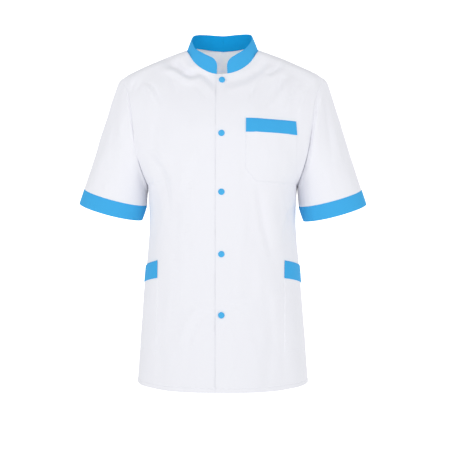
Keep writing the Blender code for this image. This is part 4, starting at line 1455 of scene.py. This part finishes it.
def snap_finish(name, colour):
    """Moulded plastic with a faint grain."""
    made = Finish(name, colour, {})
    place = made.node("ShaderNodeTexCoord", {}, {}, 3)
    grain = made.noise(place, 900, 2)
    made.vary(made.noise(place, 90, 1), 0.95, 1.05, grain * 0.12 + 0.26, grain, 0.1, 0.02)
    return made.material


def thread_finish(name, colour):
    """Twisted sewing thread."""
    made = Finish(name, colour, {"Roughness": 0.6, "Specular IOR Level": 0.3})
    made.vary(made.noise(made.node("ShaderNodeTexCoord", {}, {}, 3), 2400, 1), 0.93, 1)
    return made.material


# The stage.


def add_stage():
    """A pale floor that rises behind, soft light, and the camera."""
    glow = {"Roughness": 0.9, "Emission Color": (1, 1, 1, 1), "Emission Strength": 1.0}
    pale = Finish("pale_stage", (0.9, 0.9, 0.9), glow)
    places = (("floor", (0, 0, FLOOR_LEVEL), 0), ("backdrop", (0, BACKDROP_DEPTH, 0), math.pi / 2))
    for name, place, tilt in places:
        mesh = bmesh.new()
        bmesh.ops.create_grid(mesh, x_segments=1, y_segments=1, size=STAGE_SIZE)
        plane = show_mesh(name, mesh, [pale.material])
        plane.location = place
        plane.rotation_euler = (tilt, 0, 0)
        plane.visible_diffuse = False
        plane.visible_glossy = False

    world = bpy.data.worlds.new("studio")
    world.use_nodes = True
    bpy.context.scene.world = world
    nodes, links = world.node_tree.nodes, world.node_tree.links
    back = nodes["Background"]
    back.inputs["Color"].default_value = (1, 1, 1, 1)
    kinds = ("ShaderNodeTexCoord", "ShaderNodeSeparateXYZ", "ShaderNodeMapRange")
    way, split, fall = (nodes.new(kind) for kind in kinds)
    fall.inputs["To Min"].default_value = ROOM_LIGHT
    fall.inputs["To Max"].default_value = OVERHEAD_LIGHT
    links.new(way.outputs["Generated"], split.inputs[0])
    links.new(split.outputs["Z"], fall.inputs["Value"])
    links.new(fall.outputs[0], back.inputs["Strength"])

    for name, place, size, power in LAMPS:
        lamp = bpy.data.lights.new(name, "AREA")
        lamp.shape = "SQUARE"
        lamp.size = size
        lamp.energy = power
        source = show(name, lamp)
        source.location = place
        aim = Vector((0, 0, CAMERA_LEVEL)) - Vector(place)
        source.rotation_euler = aim.to_track_quat("-Z", "Y").to_euler()

    lens = bpy.data.cameras.new("camera")
    lens.lens = CAMERA_LENS
    lens.sensor_width = CAMERA_SENSOR
    camera = show("camera", lens)
    right = Vector((math.cos(CAMERA_SIDE), math.sin(CAMERA_SIDE), 0))
    behind = Vector((math.sin(CAMERA_SIDE), -math.cos(CAMERA_SIDE), 0))
    camera.location = CAMERA_OFFSET * right + CAMERA_DISTANCE * behind + Vector((0, 0, CAMERA_LEVEL))
    camera.rotation_euler = (-behind).to_track_quat("-Z", "Y").to_euler()
    bpy.context.scene.camera = camera
    bpy.context.scene.view_settings.view_transform = "Standard"


def make_tunic():
    twill = cloth_finish("white_twill", WHITE, 0.035, 0.8, 0.1)
    lit = cloth_finish("white_twill_lit_through", WHITE, 0.035, 0.8, 0.1, THROUGH_LIGHT)
    blue_twill = cloth_finish("blue_twill", BLUE, 0.06, 0.75, 0.0)
    # The collar's inner face gets a more saturated copy of the blue twill, painted shade of its hollow.
    blue_inside_painted_shade = cloth_finish("blue_twill_inside_painted_shade", BLUE_INSIDE_PAINTED_SHADE, 0.06, 0.8, 0.0)
    white, blue = ("white_cloth", [twill]), ("blue_cloth", [blue_twill])
    white_thread = ("white_cloth", [thread_finish("white_thread", WHITE)])
    blue_thread = ("blue_cloth", [thread_finish("blue_thread", BLUE)])
    looks = (white, blue, white_thread, blue_thread)
    plastic = ("blue_snap", [snap_finish("snap_plastic", SNAP_BLUE)])
    back = make_back(("white_cloth", [twill, lit]))
    hem_stitches("back_stitches", (-1, 1), True, white_thread)
    for name, side in (("left", 1), ("right", -1)):
        front = make_front(name, side, white)
        sewn = hem_stitches(f"front_{name}_stitches", (side,), False, white_thread)
        sleeve, cuff = make_arm(name, side, white, blue)
        make_side_pocket(name, side, looks)
    make_chest_pocket(looks)
    collar = make_collar(("blue_cloth", [blue_twill, blue_inside_painted_shade]))
    sewn = collar_stitches(blue_thread)
    make_snaps(plastic)


make_tunic()
add_stage()
